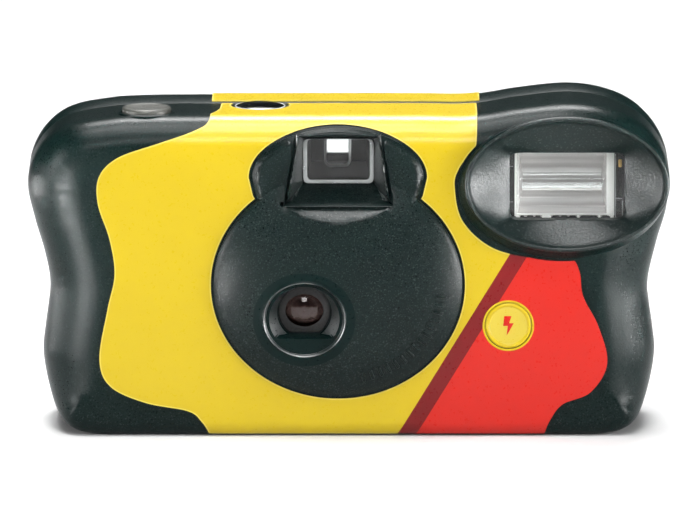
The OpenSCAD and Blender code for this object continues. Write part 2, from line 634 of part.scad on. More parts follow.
// Film: cassette, strip across the gate and the roll that is still to be exposed
cap_t = 0.6;
film_z = lens_z - film_w / 2;
module cassette_shell() color("#d8b23a") difference() {
    disc_z(cassette_x, cassette_y, cassette_z + cap_t, cassette_r, cassette_h - 2 * cap_t);
    disc_z(cassette_x, cassette_y, cassette_z, cassette_r - 0.4, cassette_h);
    translate([cassette_x + 5, film_y - 0.4, cassette_z + cap_t])
        cube([cassette_r, film_t + 0.8, cassette_h - 2 * cap_t]);
}
module cassette_caps() color("#8d9196") for (z = [cassette_z, cassette_z + cassette_h - cap_t]) difference() {
    disc_z(cassette_x, cassette_y, z, cassette_r, cap_t);
    disc_z(cassette_x, cassette_y, z - 1, hub_r + run_gap, cap_t + 2);
}
module cassette_spool() color("#1d1f20") {
    disc_z(cassette_x, cassette_y, cassette_z + cap_t + 0.1, spool_r, cassette_h - 2 * cap_t - 0.2);
    disc_z(cassette_x, cassette_y, cassette_z, hub_r, wheel_z - cassette_z);
}
module film_strip() color("#5a3d2b") difference() {
    translate([cassette_x + spool_r, film_y, film_z]) cube([roll_x - cassette_x - spool_r, film_t, film_w]);
    box(sprocket_x, film_y - 1, sprocket_z, 10, 4, 2.6);
}
module film_roll() color("#5a3d2b") difference() {
    disc_z(roll_x, roll_y, film_z, roll_r, film_w);
    disc_z(roll_x, roll_y, film_z - 1, supply_r, film_w + 2);
}
module supply_spool() color("#1d1f20") {
    disc_z(roll_x, roll_y, wall + pass_gap, supply_r, deck_z - pass_gap - wall - pass_gap);
    disc_z(roll_x, roll_y, deck_z - 1, shaft_r, deck_t + 1);
}
sprocket_tip_r = sprocket_r + 1;
module sprocket() color("#e6e4dc") translate([sprocket_x, sprocket_y, 0]) {
    translate([0, 0, sprocket_z - 0.75]) linear_extrude(1.6) polygon([for (i = [0 : sprocket_teeth - 1])
        for (k = [0, 0.16, 0.3, 0.86])
            let (a = 360 * (i + k) / sprocket_teeth + 90 - 360 * 0.08 / sprocket_teeth,
            r = k < 0.2 ? sprocket_tip_r : sprocket_r - 0.2) [r * cos(a), r * sin(a)]]);
    translate([0, 0, sprocket_z - 0.75]) cylinder(r = shaft_r, h = deck_top + 2.6 - sprocket_z);
    translate([0, 0, lever_z]) cylinder(r = 3.2, h = lever_t);
    translate([0, 0, deck_top + 1.8]) cylinder(r = 1.5, h = counter_z + counter_t - deck_top - 1.8);
}

// Flash: window, trough reflector, tube and the board with its large pieces
reflector_t = 0.5;
reflector_depth = 6;
window_t = 1.2;
flash_window_y = bowl_y + 1.2;
reflector_y = flash_window_y + window_t;
tube_r = 1.4;
tube_end = 1;
tube_y = reflector_y + 3.4;
function trough(grow) = [for (t = [-1 : 0.125 : 1])
    [reflector_y + (reflector_depth + grow) * (1 - t * t), t * (flash_h / 2 + grow)]];
module flash_window() color("#eef3f5", 0.35)
    box(flash_x, flash_window_y, flash_z, flash_w + 1.2, window_t, flash_h + 1.2);
module flash_reflector() color("silver") translate([reflector_x - reflector_w / 2, 0, flash_z]) difference() {
    rotate([90, 0, 90]) linear_extrude(reflector_w) polygon(trough(reflector_t));
    translate([reflector_t, 0, 0]) rotate([90, 0, 90]) linear_extrude(reflector_w - 2 * reflector_t)
        polygon(trough(0));
    translate([-1, tube_y, 0]) rotate([0, 90, 0]) cylinder(r = tube_r + run_gap, h = reflector_w + 2);
}
module flash_tube() color("#f2f4f4", 0.5)
    along_x(reflector_x - reflector_w / 2 - tube_end, tube_y, flash_z, tube_r, reflector_w + 2 * tube_end);
board_left = charge_x - 6.5;
board_right = battery_x + 5.5;
board_top = bezel_z - bezel_half_h - 2;
module flash_board() color("#2f6b3c") translate([board_left, board_y, capacitor_z])
    cube([board_right - board_left, board_t, board_top - capacitor_z]);
module flash_capacitor() color("#23364f")
    disc_z(capacitor_x, capacitor_y, capacitor_z, capacitor_r, capacitor_l);
module step_up_transformer() color("#3a3129")
    translate([capacitor_x + capacitor_r + 0.5, board_back_y, capacitor_z + 16]) cube([4.6, 6, 8]);
module trigger_coil() color("#7a4b22")
    disc_z(capacitor_x + capacitor_r + 3, board_back_y + 2.4, capacitor_z + 2, 2.3, 8);
module sync_contacts() color("#c9a24a") for (x = [lever_x + 7.2, lever_x + 8.4])
    translate([x, deck_front_y + 0.2, lever_z - 2]) cube([0.3, 2, deck_z - lever_z + 2]);
module battery() color("#3c3f44") {
    disc_z(battery_x, battery_y, battery_z, battery_r, battery_l);
    disc_z(battery_x, battery_y, battery_z + battery_l - eps, 2.7, 1 + eps);
}
module battery_contacts() color("#c9a24a") for (z = [battery_z - 0.4, battery_z + battery_l + 1])
    translate([battery_x - 3, board_back_y + 13, z]) cube([6, battery_y - board_back_y - 9, 0.4]);
module ready_light() color("#d8702a") disc_y(ready_x, in_back_y - 6, ready_z, ready_r, wall + 6.3);

front_cover();
rear_cover();
front_label();
rear_label();
chassis();
film_door();
taking_lens();
lens_retainer();
aperture_plate();
shutter_blade();
drive_lever();
drive_spring();
metering_lever();
finder_front_lens();
finder_eyepiece();
shutter_button();
counter_window();
counter_disc();
advance_wheel();
ratchet_pawl();
cassette_shell();
cassette_caps();
cassette_spool();
film_strip();
film_roll();
supply_spool();
sprocket();
flash_window();
flash_reflector();
flash_tube();
flash_board();
flash_capacitor();
step_up_transformer();
trigger_coil();
sync_contacts();
battery();
battery_contacts();
ready_light();
charge_button();
charge_contact();
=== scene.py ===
"""Looks of the single-use film camera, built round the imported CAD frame. Sizes here are in millimetres."""
import math

import bmesh
import bpy
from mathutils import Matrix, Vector
from mathutils.geometry import delaunay_2d_cdt


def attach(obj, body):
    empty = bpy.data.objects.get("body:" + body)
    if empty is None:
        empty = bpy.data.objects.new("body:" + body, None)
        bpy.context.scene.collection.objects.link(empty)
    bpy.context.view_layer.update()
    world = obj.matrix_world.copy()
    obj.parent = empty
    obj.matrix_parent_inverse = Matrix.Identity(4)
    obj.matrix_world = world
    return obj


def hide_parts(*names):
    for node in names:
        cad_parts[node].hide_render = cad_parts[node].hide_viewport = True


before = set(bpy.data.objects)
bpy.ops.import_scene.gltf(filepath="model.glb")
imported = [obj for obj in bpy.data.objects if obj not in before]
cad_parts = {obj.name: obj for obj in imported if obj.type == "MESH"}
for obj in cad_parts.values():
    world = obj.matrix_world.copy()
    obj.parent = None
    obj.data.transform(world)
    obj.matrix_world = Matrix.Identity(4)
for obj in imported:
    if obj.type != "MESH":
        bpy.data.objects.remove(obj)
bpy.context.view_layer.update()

MM = 0.001

# Sizes shared with the CAD source
HALF_W, DECK_H, HUMP = 58.5, 58.5, 2.2
FRONT_Y, BACK_Y, SEAM_Y, WALL = -17.0, 17.0, 2.0, 1.6
WAIST_IN, FOOT_IN, GRIP_R, TOP_R, BASE_R, BACK_R = 4.0, 2.7, 10.0, 5.5, 3.0, 8.0
BULGE_Z, WAIST_Z, FOOT_Z = 45.0, 27.0, 14.5
LENS = (-8.1, 23.0)
PANEL, PANEL_W, PANEL_H = (-2.0, 28.1), 22.6, 20.5
ARCH_Z, ARCH_W, ARCH_H = 47.9, 15.7, 9.0
ARCH_NECK_DROP, ARCH_NECK_IN, ARCH_FOOT_DROP, ARCH_FOOT_IN = 3.4, 0.8, 8.0, 3.0
FINDER, FINDER_W, FINDER_H = (-1.9, 50.1), 13.0, 8.3
BEZEL, BEZEL_W, BEZEL_H = (40.3, 46.5), 18.2, 12.1
READY_LIGHT, READY_HOLE_R, READY_CLEAR_R = (13.0, FINDER[1]), 1.66, 2.2
FLASH, FLASH_W, FLASH_H = (39.7, 45.9), 21.0, 12.4
CHARGE, CHARGE_R = (29.0, 20.6), 4.2
BUTTON, BUTTON_R = (-36.8, -8.0), 4.5
WINDOW, WINDOW_R, WINDOW_LEDGE = (-16.2, -1.45), 4.6, 0.8
LABEL_EDGE = 1.4

# Sizes of the visual model alone
SEAM_GAP, SEAM_LIP, SEAM_DARK = 0.06, 0.3, 0.4
CONTROL_GAP, WINDOW_GAP = 0.15, 0.05
BASE_TOP_Z, BASE_FADE = 12.0, 8.0
BEZEL_FOOT_SHIFT, BEZEL_FOOT_GROW = (-1.4, -0.6), (0.8, 0.8)
BEZEL_RIM_SHIFT, BEZEL_RIM_GROW = (-0.75, 0.4), (0.5, 0.4)
LABEL_HALF_W, LABEL_FADE, LABEL_CLOSE = 24.0, 5.0, 0.7


# Shapes in code
def closed_curve(points, steps):
    """Closed Catmull-Rom curve through points, as the CAD source draws its outlines."""
    n, out = len(points), []
    for i in range(n):
        a, b, c, d = (points[(i + k) % n] for k in (-1, 0, 1, 2))
        for k in range(steps):
            t = k / steps
            out.append(tuple(0.5 * (2 * b[j] + (c[j] - a[j]) * t + (2 * a[j] - 5 * b[j] + 4 * c[j] - d[j]) * t * t
                                    + (3 * b[j] - a[j] - 3 * c[j] + d[j]) * t ** 3) for j in (0, 1)))
    return out


def ellipse(centre, a, b, n):
    return [(centre[0] + a * math.cos(2 * math.pi * i / n), centre[1] + b * math.sin(2 * math.pi * i / n))
            for i in range(n)]


def rounded_box(centre, w, h, r, steps=6):
    """Rectangle with round corners, anticlockwise from the right side."""
    out = []
    for i, (sx, sz) in enumerate(((1, 1), (-1, 1), (-1, -1), (1, -1))):
        for k in range(steps + 1):
            a = math.pi / 2 * (i + k / steps)
            out.append((centre[0] + sx * (w / 2 - r) + r * math.cos(a), centre[1] + sz * (h / 2 - r) + r * math.sin(a)))
    return out


def mix(a, b, t):
    return a + (b - a) * t


def soft_min(a, b, k):
    h = max(0.0, min(1.0, 0.5 + 0.5 * (b - a) / k))
    return mix(b, a, h) - k * h * (1 - h)


def soft_max(a, b, k):
    return -soft_min(-a, -b, k)


def ease(t):
    t = max(0.0, min(1.0, t))
    return t * t * (3 - 2 * t)


def make_mesh(name, verts, faces):
    """Object from points in millimetres; it stays in millimetres until piece() is called."""
    mesh = bpy.data.meshes.new(name)
    mesh.from_pydata(verts, [], faces)
    mesh.validate()
    obj = bpy.data.objects.new(name, mesh)
    bpy.context.scene.collection.objects.link(obj)
    return obj


def outward(obj):
    """Turns the faces of a closed mesh so that their normals point out."""
    bm = bmesh.new()
    bm.from_mesh(obj.data)
    bmesh.ops.recalc_face_normals(bm, faces=bm.faces)
    bm.to_mesh(obj.data)
    bm.free()
    return obj


def skin(name, rings, cap_start=True, cap_end=True):
    """Surface through rings of equal length, closed at its ends by flat caps where asked."""
    n, m = len(rings[0]), len(rings)
    faces = [(i * n + j, i * n + (j + 1) % n, (i + 1) * n + (j + 1) % n, (i + 1) * n + j)
             for i in range(m - 1) for j in range(n)]
    if cap_start:
        faces.append(tuple(reversed(range(n))))
    if cap_end:
        faces.append(tuple(range((m - 1) * n, m * n)))
    return outward(make_mesh(name, [v for r in rings for v in r], faces))


def prism_y(points, y0, y1):
    return skin("cutter", [[(x, y, z) for x, z in points] for y in (y0, y1)])


def prism_z(points, z0, z1):
    return skin("cutter", [[(x, y, z) for x, y in points] for z in (z0, z1)])


def block(x0, x1, y0, y1, z0, z1):
    return prism_z([(x0, y0), (x1, y0), (x1, y1), (x0, y1)], z0, z1)


def carve(obj, cutters, operation="DIFFERENCE"):
    """Exact boolean with each cutter in turn; the cutters are used up."""
    for c in cutters:
        m = obj.modifiers.new("carve", "BOOLEAN")
        m.object, m.operation, m.solver = c, operation, "EXACT"
    dg = bpy.context.evaluated_depsgraph_get()
    mesh = bpy.data.meshes.new_from_object(obj.evaluated_get(dg))
    obj.modifiers.clear()
    old, obj.data = obj.data, mesh
    bpy.data.meshes.remove(old)
    for c in cutters:
        bpy.data.objects.remove(c)
    return obj


def piece(obj, name, materials, body="camera", nodes=(), sharp=32.0):
    """Brings a finished mesh to metres, dresses it and hangs it on its body."""
    for v in obj.data.vertices:
        v.co *= MM
    obj.name = obj.data.name = name
    for m in materials:
        obj.data.materials.append(m)
    obj.data.shade_smooth()
    obj.data.set_sharp_from_angle(angle=math.radians(sharp))
    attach(obj, body)
    if nodes:
        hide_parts(*nodes)


def lathe(profile, n=64):
    """Rings of (r, h) points turned about an axis, as (u, v, h)."""
    return [[(r * math.cos(2 * math.pi * i / n), r * math.sin(2 * math.pi * i / n), h) for i in range(n)]
            for r, h in profile]


def lathe_y(name, profile, x, z, n=64, **caps):
    """Turned piece with its axis along Y; the profile's h is the place along Y."""
    return skin(name, [[(x + u, h, z + v) for u, v, h in ring] for ring in lathe(profile, n)], **caps)


def lathe_z(name, profile, x, y, n=64, **caps):
    return skin(name, [[(x + u, y + v, h) for u, v, h in ring] for ring in lathe(profile, n)], **caps)


# Materials, all procedural and read from each piece's own coordinates
def surface(name, base, alt, rough, grain, depth=0.0, blotch=90.0, spread=0.08, glint_speck=None, stretch=None,
            **sockets):
    """Two close colours in soft blotches, fine grain as bump and as uneven roughness, and light specks where asked.

    grain is the size of one grain in millimetres and depth its height in millimetres. blotch counts the blotches in
    a metre, spread is how far the roughness strays, glint_speck is a colour with its share of the surface, and
    stretch scales the pattern along each axis. The light specks are painted glints: paler flecks on the grain that
    stand in for the sparkle of light on it. Any other name is an input of the shader, with _ for a space.
    """
    mat = bpy.data.materials.new(name)
    mat.use_nodes = True
    nodes, links = mat.node_tree.nodes, mat.node_tree.links
    shader = nodes["Principled BSDF"]
    place = nodes.new("ShaderNodeTexCoord").outputs["Object"]
    if stretch:
        scaled = nodes.new("ShaderNodeMapping")
        scaled.inputs["Scale"].default_value = stretch
        links.new(place, scaled.inputs["Vector"])
        place = scaled.outputs["Vector"]

    def noise(scale, detail):
        n = nodes.new("ShaderNodeTexNoise")
        n.inputs["Scale"].default_value, n.inputs["Detail"].default_value = scale, detail
        links.new(place, n.inputs["Vector"])
        return n.outputs["Fac"]

    def ranged(value, lo, hi, out_lo, out_hi):
        r = nodes.new("ShaderNodeMapRange")
        for socket, v in zip(r.inputs[1:5], (lo, hi, out_lo, out_hi)):
            socket.default_value = v
        links.new(value, r.inputs[0])
        return r.outputs[0]

    def blend(factor, a, b):
        m = nodes.new("ShaderNodeMix")
        m.data_type = "RGBA"
        for socket, v in ((m.inputs[6], a), (m.inputs[7], b)):
            if isinstance(v, bpy.types.NodeSocket):
                links.new(v, socket)
            else:
                socket.default_value = (*v, 1.0)
        links.new(factor, m.inputs[0])
        return m.outputs[2]

    colour = blend(ranged(noise(blotch, 3.0), 0.35, 0.65, 0.0, 1.0), base, alt)
    fine = noise(1 / MM / grain, 2.0)
    # Painted glints: paler flecks mixed into the colour along the grain stand in for the sparkle of light on it.
    if glint_speck:
        tint, share = glint_speck
        colour = blend(ranged(fine, 0.5 + (0.5 - share) * 0.42, 0.74, 0.0, 1.0), colour, tint)
    links.new(colour, shader.inputs["Base Color"])
    links.new(ranged(fine, 0.3, 0.7, max(0.02, rough - spread), min(1.0, rough + spread)), shader.inputs["Roughness"])
    if depth:
        bump = nodes.new("ShaderNodeBump")
        bump.inputs["Strength"].default_value = 1.0
        bump.inputs["Distance"].default_value = depth * MM
        links.new(fine, bump.inputs["Height"])
        links.new(bump.outputs["Normal"], shader.inputs["Normal"])
    for socket, value in sockets.items():
        shader.inputs[socket.replace("_", " ")].default_value = value
    return mat


# The paler specks of these black plastics are painted glints on their grain.
BLACK = surface("moulded_black", (0.0007, 0.0052, 0.0047), (0.0011, 0.0063, 0.0057), 0.33, grain=0.3, depth=0.022,
                glint_speck=((0.022, 0.03, 0.029), 0.3), Specular_IOR_Level=0.13)
PANEL_BLACK = surface("panel_black", (0.0007, 0.0042, 0.0039), (0.0011, 0.0052, 0.0048), 0.34, grain=0.28, depth=0.018,
                      glint_speck=((0.026, 0.034, 0.033), 0.36), Specular_IOR_Level=0.17)
SMOOTH_BLACK = surface("polished_black", (0.0008, 0.0055, 0.0052), (0.0013, 0.0066, 0.0062), 0.34, grain=0.5,
                       depth=0.004, Specular_IOR_Level=0.1)
BOWL = surface("bezel_grain", (0.0018, 0.0066, 0.0062), (0.002, 0.007, 0.0066), 0.36, grain=0.4, depth=0.045,
               glint_speck=((0.045, 0.053, 0.051), 0.3), Specular_IOR_Level=0.36)
CONE = surface("lens_cone", (0.001, 0.0052, 0.0049), (0.0015, 0.0062, 0.0058), 0.34, grain=0.3, depth=0.012,
               Specular_IOR_Level=0.9, IOR=1.9)
INNER = surface("inner_black", (0.006, 0.0065, 0.0066), (0.009, 0.0095, 0.0096), 0.7, grain=0.4, depth=0.01)
PRINT = dict(rough=0.34, grain=0.5, depth=0.002, Specular_IOR_Level=0.25, Coat_Weight=0.12, Coat_Roughness=0.12)
YELLOW = surface("print_yellow", (0.45, 0.33, 0.0065), (0.44, 0.32, 0.006), **PRINT)
RED = surface("print_red", (0.43, 0.01, 0.0045), (0.42, 0.0092, 0.004), **PRINT)
DARK_RED = surface("print_dark_red", (0.127, 0.0016, 0.0024), (0.12, 0.0014, 0.002), **PRINT)
# Pale edge of the labels: partly the unprinted label stock, partly a painted highlight along the label's edge.
LABEL_STOCK_AND_HIGHLIGHT = surface("label_edge", (0.53, 0.42, 0.06), (0.51, 0.4, 0.05), 0.5, grain=0.15, depth=0.004)
WHITE = surface("white_plastic", (0.9, 0.9, 0.87), (0.85, 0.85, 0.82), 0.4, grain=0.3, depth=0.004)
SILVER = surface("button_grey", (0.062, 0.063, 0.056), (0.053, 0.054, 0.048), 0.4, grain=0.3, depth=0.012, Metallic=0.2)
CLEAR = surface("clear_plastic", (0.97, 0.985, 0.985), (0.95, 0.97, 0.97), 0.04, grain=2.0, spread=0.02,
                Transmission_Weight=1.0, IOR=1.49)
SMOKED = surface("counter_glass", (0.09, 0.11, 0.115), (0.08, 0.1, 0.105), 0.06, grain=2.0, spread=0.02,
                 Transmission_Weight=1.0, IOR=1.45)
# Taking lens: its reddish tint is a painted reflection, standing in for the red-brown glints on the lens.
LENS_CLEAR = surface("lens_plastic", (0.62, 0.4, 0.36), (0.57, 0.36, 0.33), 0.03, grain=2.0, spread=0.01,
                     Transmission_Weight=1.0, IOR=1.49)
# Reflector foil: its brightness is mostly painted reflection, a near-white, hardly metallic colour with lighter and
# darker bands stretched along the trough that stand in for the foil's mirror image.
MIRROR = surface("reflector_foil", (0.95, 0.94, 0.92), (0.62, 0.59, 0.58), 0.2, grain=0.8, depth=0.003, blotch=620.0,
                 stretch=(0.02, 0.3, 1.0), Metallic=0.2)
STEEL = surface("steel", (0.5, 0.5, 0.49), (0.42, 0.42, 0.42), 0.34, grain=0.2, depth=0.004, Metallic=1.0)
DARK_STEEL = surface("blackened_steel", (0.03, 0.031, 0.033), (0.04, 0.041, 0.043), 0.4, grain=0.2, depth=0.004,
                     Metallic=0.7)
BRASS = surface("brass", (0.62, 0.42, 0.13), (0.54, 0.36, 0.1), 0.35, grain=0.2, depth=0.004, Metallic=1.0)
FILM = surface("film_base", (0.09, 0.045, 0.022), (0.075, 0.036, 0.017), 0.28, grain=0.6, depth=0.002)
CAN = surface("can_lacquer", (0.5, 0.36, 0.05), (0.44, 0.31, 0.04), 0.33, grain=0.4, depth=0.004, Metallic=0.4)
CAP = surface("cap_metal", (0.3, 0.31, 0.32), (0.25, 0.26, 0.27), 0.4, grain=0.3, depth=0.006, Metallic=0.9)
BOARD = surface("circuit_board", (0.03, 0.14, 0.05), (0.022, 0.11, 0.04), 0.42, grain=0.7, depth=0.006)
SLEEVE = surface("capacitor_sleeve", (0.014, 0.03, 0.06), (0.02, 0.04, 0.075), 0.36, grain=0.6, depth=0.004)
COIL = surface("coil_winding", (0.2, 0.085, 0.025), (0.16, 0.065, 0.018), 0.4, grain=0.15, depth=0.03, Metallic=0.4)
CELL = surface("cell_sleeve", (0.05, 0.052, 0.058), (0.035, 0.037, 0.042), 0.35, grain=0.5, depth=0.004)
AMBER = surface("amber_light", (0.75, 0.2, 0.03), (0.66, 0.16, 0.02), 0.2, grain=0.6, depth=0.002,
                Transmission_Weight=0.3)
PALE_YELLOW = surface("charge_yellow", (0.47, 0.365, 0.03), (0.455, 0.35, 0.026), 0.34, grain=0.35, depth=0.006)
# Pale, half-clear edges of the clear parts: a painted highlight standing in for the light that clear plastic catches
# along its edges.
CLEAR_EDGE = surface("clear_edge", (0.75, 0.78, 0.78), (0.68, 0.71, 0.71), 0.2, grain=0.8, depth=0.004,
                     Transmission_Weight=0.45)
GREEN_CLEAR = surface("green_tint", (0.16, 0.21, 0.18), (0.09, 0.13, 0.11), 0.25, grain=0.6, depth=0.004)


# Outline of the body seen from the front, and the rounded covers that follow it
body_points = [
    (-(HALF_W - 22), 0), (-(HALF_W - 14.5), 0), (-(HALF_W - 9.3), 0.7), (-(HALF_W - 5.8), 3.2),
    (-(HALF_W - 3.8), 8), (-(HALF_W - FOOT_IN), FOOT_Z), (-(HALF_W - WAIST_IN * 0.84), WAIST_Z - 6.5),
    (-(HALF_W - WAIST_IN), WAIST_Z), (-(HALF_W - WAIST_IN * 0.75), WAIST_Z + 5.8),
    (-(HALF_W - 1.3), BULGE_Z - 6.3), (-HALF_W, BULGE_Z - 0.3), (-(HALF_W - 0.7), BULGE_Z + 4.3),
    (-(HALF_W - 3.2), DECK_H - 5.1), (-(HALF_W - 7.2), DECK_H - 2.2), (-(HALF_W - 13), DECK_H - 0.8),
    (-(HALF_W - 22), DECK_H - 0.1), (-12, DECK_H), (12, DECK_H), (22, DECK_H),
    (31, DECK_H + HUMP * 0.62), (40, DECK_H + HUMP), (HALF_W - 11.5, DECK_H + HUMP * 0.55),
    (HALF_W - 6, DECK_H - 1.4), (HALF_W - 2, DECK_H - 5.8), (HALF_W - 0.1, BULGE_Z + 2.2),
    (HALF_W - 0.6, BULGE_Z - 4), (HALF_W - 2.4, BULGE_Z - 10.4), (HALF_W - WAIST_IN, WAIST_Z),
    (HALF_W - WAIST_IN * 0.84, WAIST_Z - 6.5), (HALF_W - FOOT_IN, FOOT_Z), (HALF_W - 3.8, 8),
    (HALF_W - 5.8, 3.2), (HALF_W - 9.3, 0.7), (HALF_W - 14.5, 0), (HALF_W - 22, 0), (0, 0)]
outline = [(max(-HALF_W, min(HALF_W, x)), max(0.0, min(DECK_H + HUMP, z)))
           for x, z in closed_curve(body_points, 12)]


def outline_normals():
    out, n = [], len(outline)
    for i in range(n):
        (ax, az), (bx, bz) = outline[i - 1], outline[(i + 1) % n]
        size = math.hypot(bx - ax, bz - az)
        out.append((-(bz - az) / size, (bx - ax) / size))
    return out


normals = outline_normals()


def edge_radius(nx, nz, z, side):
    """Rounding of a cover's front edge: wide on the grips, tighter on the deck and tightest along the base."""
    upper = side * nx * nx + TOP_R * nz * nz
    if nz > 0:
        return upper
    return mix(upper, mix(BASE_R, side, abs(nx) ** 6), ease((BASE_TOP_Z - z) / BASE_FADE))


def cover_ring(side, face_y, sign, grow, turn):
    """Loop round a cover where its rounded edge has turned by so many degrees; sign is -1 in front and 1 behind."""
    c, s, ring = math.cos(math.radians(turn)), math.sin(math.radians(turn)), []
    for (x, z), (nx, nz) in zip(outline, normals):
        r = max(0.4, edge_radius(nx, nz, z, side) + grow)
        inset = r * (1 - c) - grow
        ring.append((x - nx * inset, face_y + sign * (grow - r * (1 - s)), z - nz * inset))
    return ring


def seam_ring(grow, y, drop=0.0, back=0.0):
    """Rim of a cover at its joint; the eased corner closes up on the deck beside the label."""
    ring = []
    for (x, z), (nx, nz) in zip(outline, normals):
        k = 1 - LABEL_CLOSE * min(max((abs(x) - LABEL_HALF_W) / LABEL_FADE, 0), 1) * (nz > 0.1)
        g = grow - drop * k
        ring.append((x + nx * g, y + back * k, z + nz * g))
    return ring


def cover(name, side, face_y, sign, grow_out, grow_in, end_y, lip=0.0):
    """Shell between two offsets of a cover's surface, with its rim eased by lip at the joint."""
    turns = [90 - 7.5 * i for i in range(13)]
    rings = [cover_ring(side, face_y, sign, grow_out, t) for t in turns]
    if lip:
        rings += [seam_ring(grow_out, end_y, 0, sign * lip), seam_ring(grow_out, end_y, lip * 0.35, sign * lip * 0.3),
                  seam_ring(grow_out, end_y, lip)]
    else:
        rings.append(seam_ring(grow_out, end_y))
    rings.append(seam_ring(grow_in, end_y))
    rings += [cover_ring(side, face_y, sign, grow_in, t) for t in reversed(turns)]
    return skin(name, rings)


def dark_seam(obj):
    """The walls of the joint take the smooth black, so that it reads as a dark line."""
    for f in obj.data.polygons:
        f.material_index = 1 if abs(f.center.y - SEAM_Y) < SEAM_DARK else 0
    return obj


def arch_points(grow, n=60):
    """Outline of the finder's arch, down to where the round panel covers it."""
    w, h = ARCH_W + grow, ARCH_H + grow
    neck, foot = w - ARCH_NECK_IN, ARCH_W - ARCH_FOOT_IN
    neck_z, foot_z = ARCH_Z - ARCH_NECK_DROP, ARCH_Z - ARCH_FOOT_DROP
    top = [(PANEL[0] + w * math.cos(math.pi * i / n), ARCH_Z + h * math.sin(math.pi * i / n)) for i in range(n + 1)]
    return top + [(PANEL[0] - neck, neck_z), (PANEL[0] - foot, foot_z), (PANEL[0] + foot, foot_z),
                  (PANEL[0] + neck, neck_z)]


def bezel_oval(t, grow, n):
    """Oval round the flash bezel, from its flared foot at t = 0 to its rim at t = 1."""
    centre = tuple(BEZEL[k] + mix(BEZEL_FOOT_SHIFT[k], BEZEL_RIM_SHIFT[k], t) for k in (0, 1))
    return ellipse(centre, BEZEL_W + mix(BEZEL_FOOT_GROW[0], BEZEL_RIM_GROW[0], t) + grow,
                   BEZEL_H + mix(BEZEL_FOOT_GROW[1], BEZEL_RIM_GROW[1], t) + grow, n)


def bezel_cutter(grow, y0, y1):
    return prism_y(bezel_oval(0, grow, 120), y0, y1)


def panel_cutters(grow, y0, y1):
    return [prism_y(ellipse(PANEL, PANEL_W + grow, PANEL_H + grow, 180), y0, y1), prism_y(arch_points(grow), y0, y1)]


def round_y(centre, r, y0, y1, n=72):
    return prism_y(ellipse(centre, r, r, n), y0, y1)


def round_z(centre, r, z0, z1, n=72):
    return prism_z(ellipse(centre, r, r, n), z0, z1)


def window_cutters(gap):
    """Seat of the counter window and the smaller hole under it."""
    return [round_z(WINDOW, WINDOW_R + gap, DECK_H - WINDOW_LEDGE, DECK_H + 4),
            round_z(WINDOW, WINDOW_R - WINDOW_LEDGE + gap, DECK_H - 6, DECK_H)]


def door_cutters():
    """Room for the bottom door, its lug step and its hinge barrel, as in the CAD source."""
    return [block(-51.8, -25.2, -10.5, 15.5, -1, 3.7), block(-44.8, -25.2, -12.9, -9.6, -1, 3.7)]


front = cover("front_shell", GRIP_R, FRONT_Y, -1, 0.0, -WALL, SEAM_Y - SEAM_GAP, lip=SEAM_LIP)
carve(front, panel_cutters(-0.7, -24, -8)
      + [bezel_cutter(-0.6, -24, -9), round_z(BUTTON, BUTTON_R + CONTROL_GAP, DECK_H - 5, DECK_H + 5),
         round_y(CHARGE, CHARGE_R + CONTROL_GAP, -19, -13)]
      + window_cutters(WINDOW_GAP) + door_cutters())
piece(dark_seam(front), "front_shell", [BLACK, SMOOTH_BLACK], nodes=["front_cover"])


# Round lens panel with the finder's arch: one sheet over the front view, its height worked out at each point
SILL_Z = 43.2
SHELF_W, SHELF_DROP = 10.3, 3.0
RIM, RIM_W, RIM_H = (LENS[0], 22.2), 7.1, 6.6
SEAT_R, SEAT_H, CONE_R, CONE_H = 9.3, 2.5, 6.4, 2.6
LENS_SILL_Z, LENS_SILL_RISE, THROAT_R, THROAT_Y = 18.6, 0.5, 4.8, -15.2
MOUTH = (9.7, 7.5, FINDER[1] + FINDER_H / 2 + 1.4)  # half widths at the sill and at the top, and the top's height
RAY_Z = 40.0  # on the panel's middle, inside both the dome and the arch
PANEL_RISE = 0.945  # keeps the panel's highest ridge inside the CAD box


def arch_depth(x, z):
    """Distance inside the edge of the finder's arch, negative outside."""
    dx = abs(x - PANEL[0])
    if z >= ARCH_Z:
        return 10.5 * (1 - math.hypot(dx / ARCH_W, (z - ARCH_Z) / ARCH_H))
    drop = ARCH_Z - z
    if drop < ARCH_NECK_DROP:
        return ARCH_W - ARCH_NECK_IN * drop / ARCH_NECK_DROP - dx
    if drop < ARCH_FOOT_DROP:
        share = (drop - ARCH_NECK_DROP) / (ARCH_FOOT_DROP - ARCH_NECK_DROP)
        return ARCH_W - mix(ARCH_NECK_IN, ARCH_FOOT_IN, share) - dx
    return -1.0


def dome_height(x, z):
    """Height of the round panel's bulge before PANEL_RISE, negative outside."""
    inside = 1 - ((x - PANEL[0]) / PANEL_W) ** 2 - ((z - PANEL[1]) / PANEL_H) ** 2
    return 0.4 + 3.6 * math.sqrt(inside) if inside > 0 else -0.5


def shelf_low(dx):
    """Lower edge of the sloping shelf, a shallow arc."""
    return SILL_Z - SHELF_DROP * max(0.0, 1 - (dx / SHELF_W) ** 2)


def rim_radius(x, z):
    """Distance from the middle of the lens rim, stretched so that the rim lies at RIM_W all round."""
    return math.hypot(x - RIM[0], (z - RIM[1]) * RIM_W / RIM_H)


def lens_radius(x, z):
    return math.hypot(x - LENS[0], z - LENS[1])


